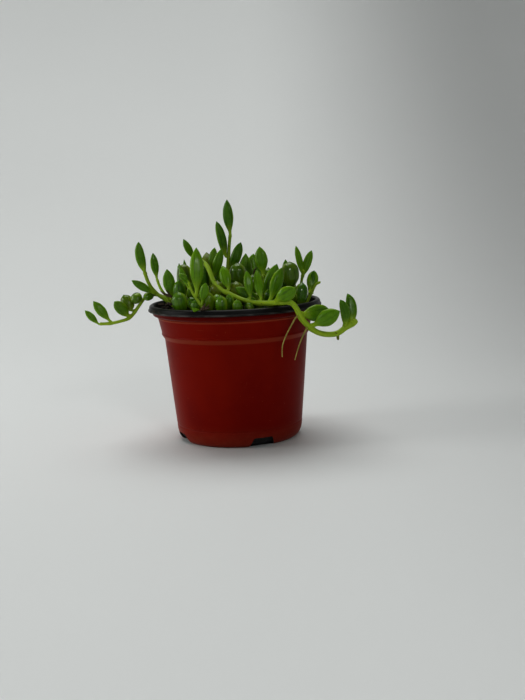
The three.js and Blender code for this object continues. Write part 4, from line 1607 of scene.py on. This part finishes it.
class PLANT_OT_stage(bpy.types.Operator):
    """Adds the floor, the lights and the camera"""

    bl_idname = "plant.stage"
    bl_label = "Stage"

    def execute(self, context):
        stage = context.scene.stage_settings
        build_floor(stage)
        aim = (0.0, 0.0, 0.06)
        for name, place, width, height, power in (
            ("left_light", (-0.90, -0.05, 0.35), 0.3, 0.4, stage.left_power),
            ("front_light", (0.30, -0.95, 0.52), 0.14, 0.10, stage.front_power),
            ("top_light", (-0.10, 0.45, 1.5), 1.2, 1.2, stage.top_power),
        ):
            add_light(name, place, aim, width, height, power)
        world = bpy.data.worlds.new("sky")
        world.use_nodes = True
        sky = world.node_tree.nodes["Background"]
        sky.inputs["Color"].default_value = (0.98, 1.0, 1.0, 1.0)
        sky.inputs["Strength"].default_value = stage.world
        context.scene.world = world
        context.scene.view_settings.view_transform = "Standard"
        context.scene.view_settings.gamma = 0.85
        add_camera(stage)
        return {"FINISHED"}


class PLANT_OT_pot(bpy.types.Operator):
    """Builds the nursery pot"""

    bl_idname = "plant.pot"
    bl_label = "Pot"

    def execute(self, context):
        build_pot(context.scene.pot_settings)
        return {"FINISHED"}


class PLANT_OT_mix(bpy.types.Operator):
    """Builds the potting mix and its loose grains"""

    bl_idname = "plant.mix"
    bl_label = "Potting Mix"

    def execute(self, context):
        build_mix(context.scene.mix_settings, context.scene.pot_settings)
        build_grains(context.scene.mix_settings)
        return {"FINISHED"}


class PLANT_OT_stems(bpy.types.Operator):
    """Builds the stems of the frame"""

    bl_idname = "plant.stems"
    bl_label = "Stems"

    def execute(self, context):
        settings = context.scene.plant_settings
        for name in sorted(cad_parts):
            if not name.endswith("_stem"):
                continue
            path, radius = stem_path(name)
            leaves = [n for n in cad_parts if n.startswith(name.replace("_stem", "_leaf_"))]
            feet = [frame_blade(leaf)[0] for leaf in sorted(leaves)]
            if name == "right_trailer_stem":
                path = path[:-TRAILER_TRIM]
            piece = Piece(name + "_fine", "stem", stem_finish(settings))
            tint = 0.9 if "trailer" in name else draws(name).uniform(0.4, 0.8)
            add_stem(piece, path, radius * PLUMP.get(name, 1.0), feet, settings, (tint, 0.0, 0.0),
                     THICKENING.get(name, EVEN))
            for start, end, half in STUBS.get(name, ()):
                stub = smooth_path([lip_point(*start), lip_point(*end)], 0.3 * MM)
                add_stem(piece, stub, half * MM, [], settings, (0.55, 0.55, 0.0))
            piece.make(name)
        return {"FINISHED"}


class PLANT_OT_leaves(bpy.types.Operator):
    """Builds the leaves of the frame and the small leaves beside them"""

    bl_idname = "plant.leaves"
    bl_label = "Leaves"

    def execute(self, context):
        settings = context.scene.plant_settings
        for name in sorted(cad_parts):
            if "_leaf_" in name:
                build_frame_leaf(name, settings)
        for stem in SIDE_LEAVES:
            build_side_leaves(stem, settings)
        return {"FINISHED"}


class PLANT_OT_beads(bpy.types.Operator):
    """Builds the beads of the frame and the others that stand on the mix"""

    bl_idname = "plant.beads"
    bl_label = "Beads"

    def execute(self, context):
        settings = context.scene.plant_settings
        for name in sorted(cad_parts):
            if name.startswith("bead_"):
                build_frame_bead(name, settings)
        build_standing(settings)
        return {"FINISHED"}


class PLANT_OT_undergrowth(bpy.types.Operator):
    """Builds the young shoots and bead strings that fill the pot"""

    bl_idname = "plant.undergrowth"
    bl_label = "Undergrowth"

    def execute(self, context):
        settings = context.scene.plant_settings
        mix = context.scene.mix_settings
        for number in range(1, RUNNERS + 1):
            build_runner(number, settings, mix)
        rng = draws("shoot places")
        number = 0
        for row in SHOOT_ROWS:
            for column in SHOOT_ROWS:
                x = (column + 0.5 * (row % 2)) * SHOOT_SPACING + rng.uniform(-2, 2) * MM
                y = row * SHOOT_SPACING * 0.87 + rng.uniform(-2, 2) * MM
                number += 1
                if math.hypot(x, y) < MIX_TOP.x - 5 * MM:
                    build_young_shoot(number, x, y, settings, mix)
        return {"FINISHED"}


class PLANT_OT_roots(bpy.types.Operator):
    """Builds the air roots and the dried bracts"""

    bl_idname = "plant.roots"
    bl_label = "Roots and Dry Bits"

    def execute(self, context):
        settings = context.scene.plant_settings
        for name in sorted(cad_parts):
            if name.startswith("air_root"):
                build_air_root(name, settings)
        build_dry_bits(settings)
        return {"FINISHED"}


STEPS = (PLANT_OT_stage, PLANT_OT_pot, PLANT_OT_mix, PLANT_OT_stems, PLANT_OT_leaves,
         PLANT_OT_beads, PLANT_OT_undergrowth, PLANT_OT_roots)


class PLANT_PT_panel(bpy.types.Panel):
    """Lists the steps that build the plant"""

    bl_label = "Potted Plant"
    bl_idname = "PLANT_PT_panel"
    bl_space_type = "VIEW_3D"
    bl_region_type = "UI"
    bl_category = "Plant"

    def draw(self, context):
        for step in STEPS:
            self.layout.operator(step.bl_idname)


GROUPS = {
    "pot_settings": PotSettings,
    "mix_settings": MixSettings,
    "plant_settings": PlantSettings,
    "stage_settings": StageSettings,
}


def register():
    """Registers the properties, the operators and the panel."""
    for name, group in GROUPS.items():
        bpy.utils.register_class(group)
        setattr(bpy.types.Scene, name, PointerProperty(type=group))
    for step in (*STEPS, PLANT_PT_panel):
        bpy.utils.register_class(step)


def unregister():
    """Takes back what register did."""
    for step in reversed((*STEPS, PLANT_PT_panel)):
        bpy.utils.unregister_class(step)
    for name, group in GROUPS.items():
        delattr(bpy.types.Scene, name)
        bpy.utils.unregister_class(group)


def main():
    """Builds every piece in order."""
    register()
    bpy.ops.plant.stage()
    bpy.ops.plant.pot()
    bpy.ops.plant.mix()
    bpy.ops.plant.stems()
    bpy.ops.plant.leaves()
    bpy.ops.plant.beads()
    bpy.ops.plant.undergrowth()
    bpy.ops.plant.roots()


if __name__ == "__main__":
    main()
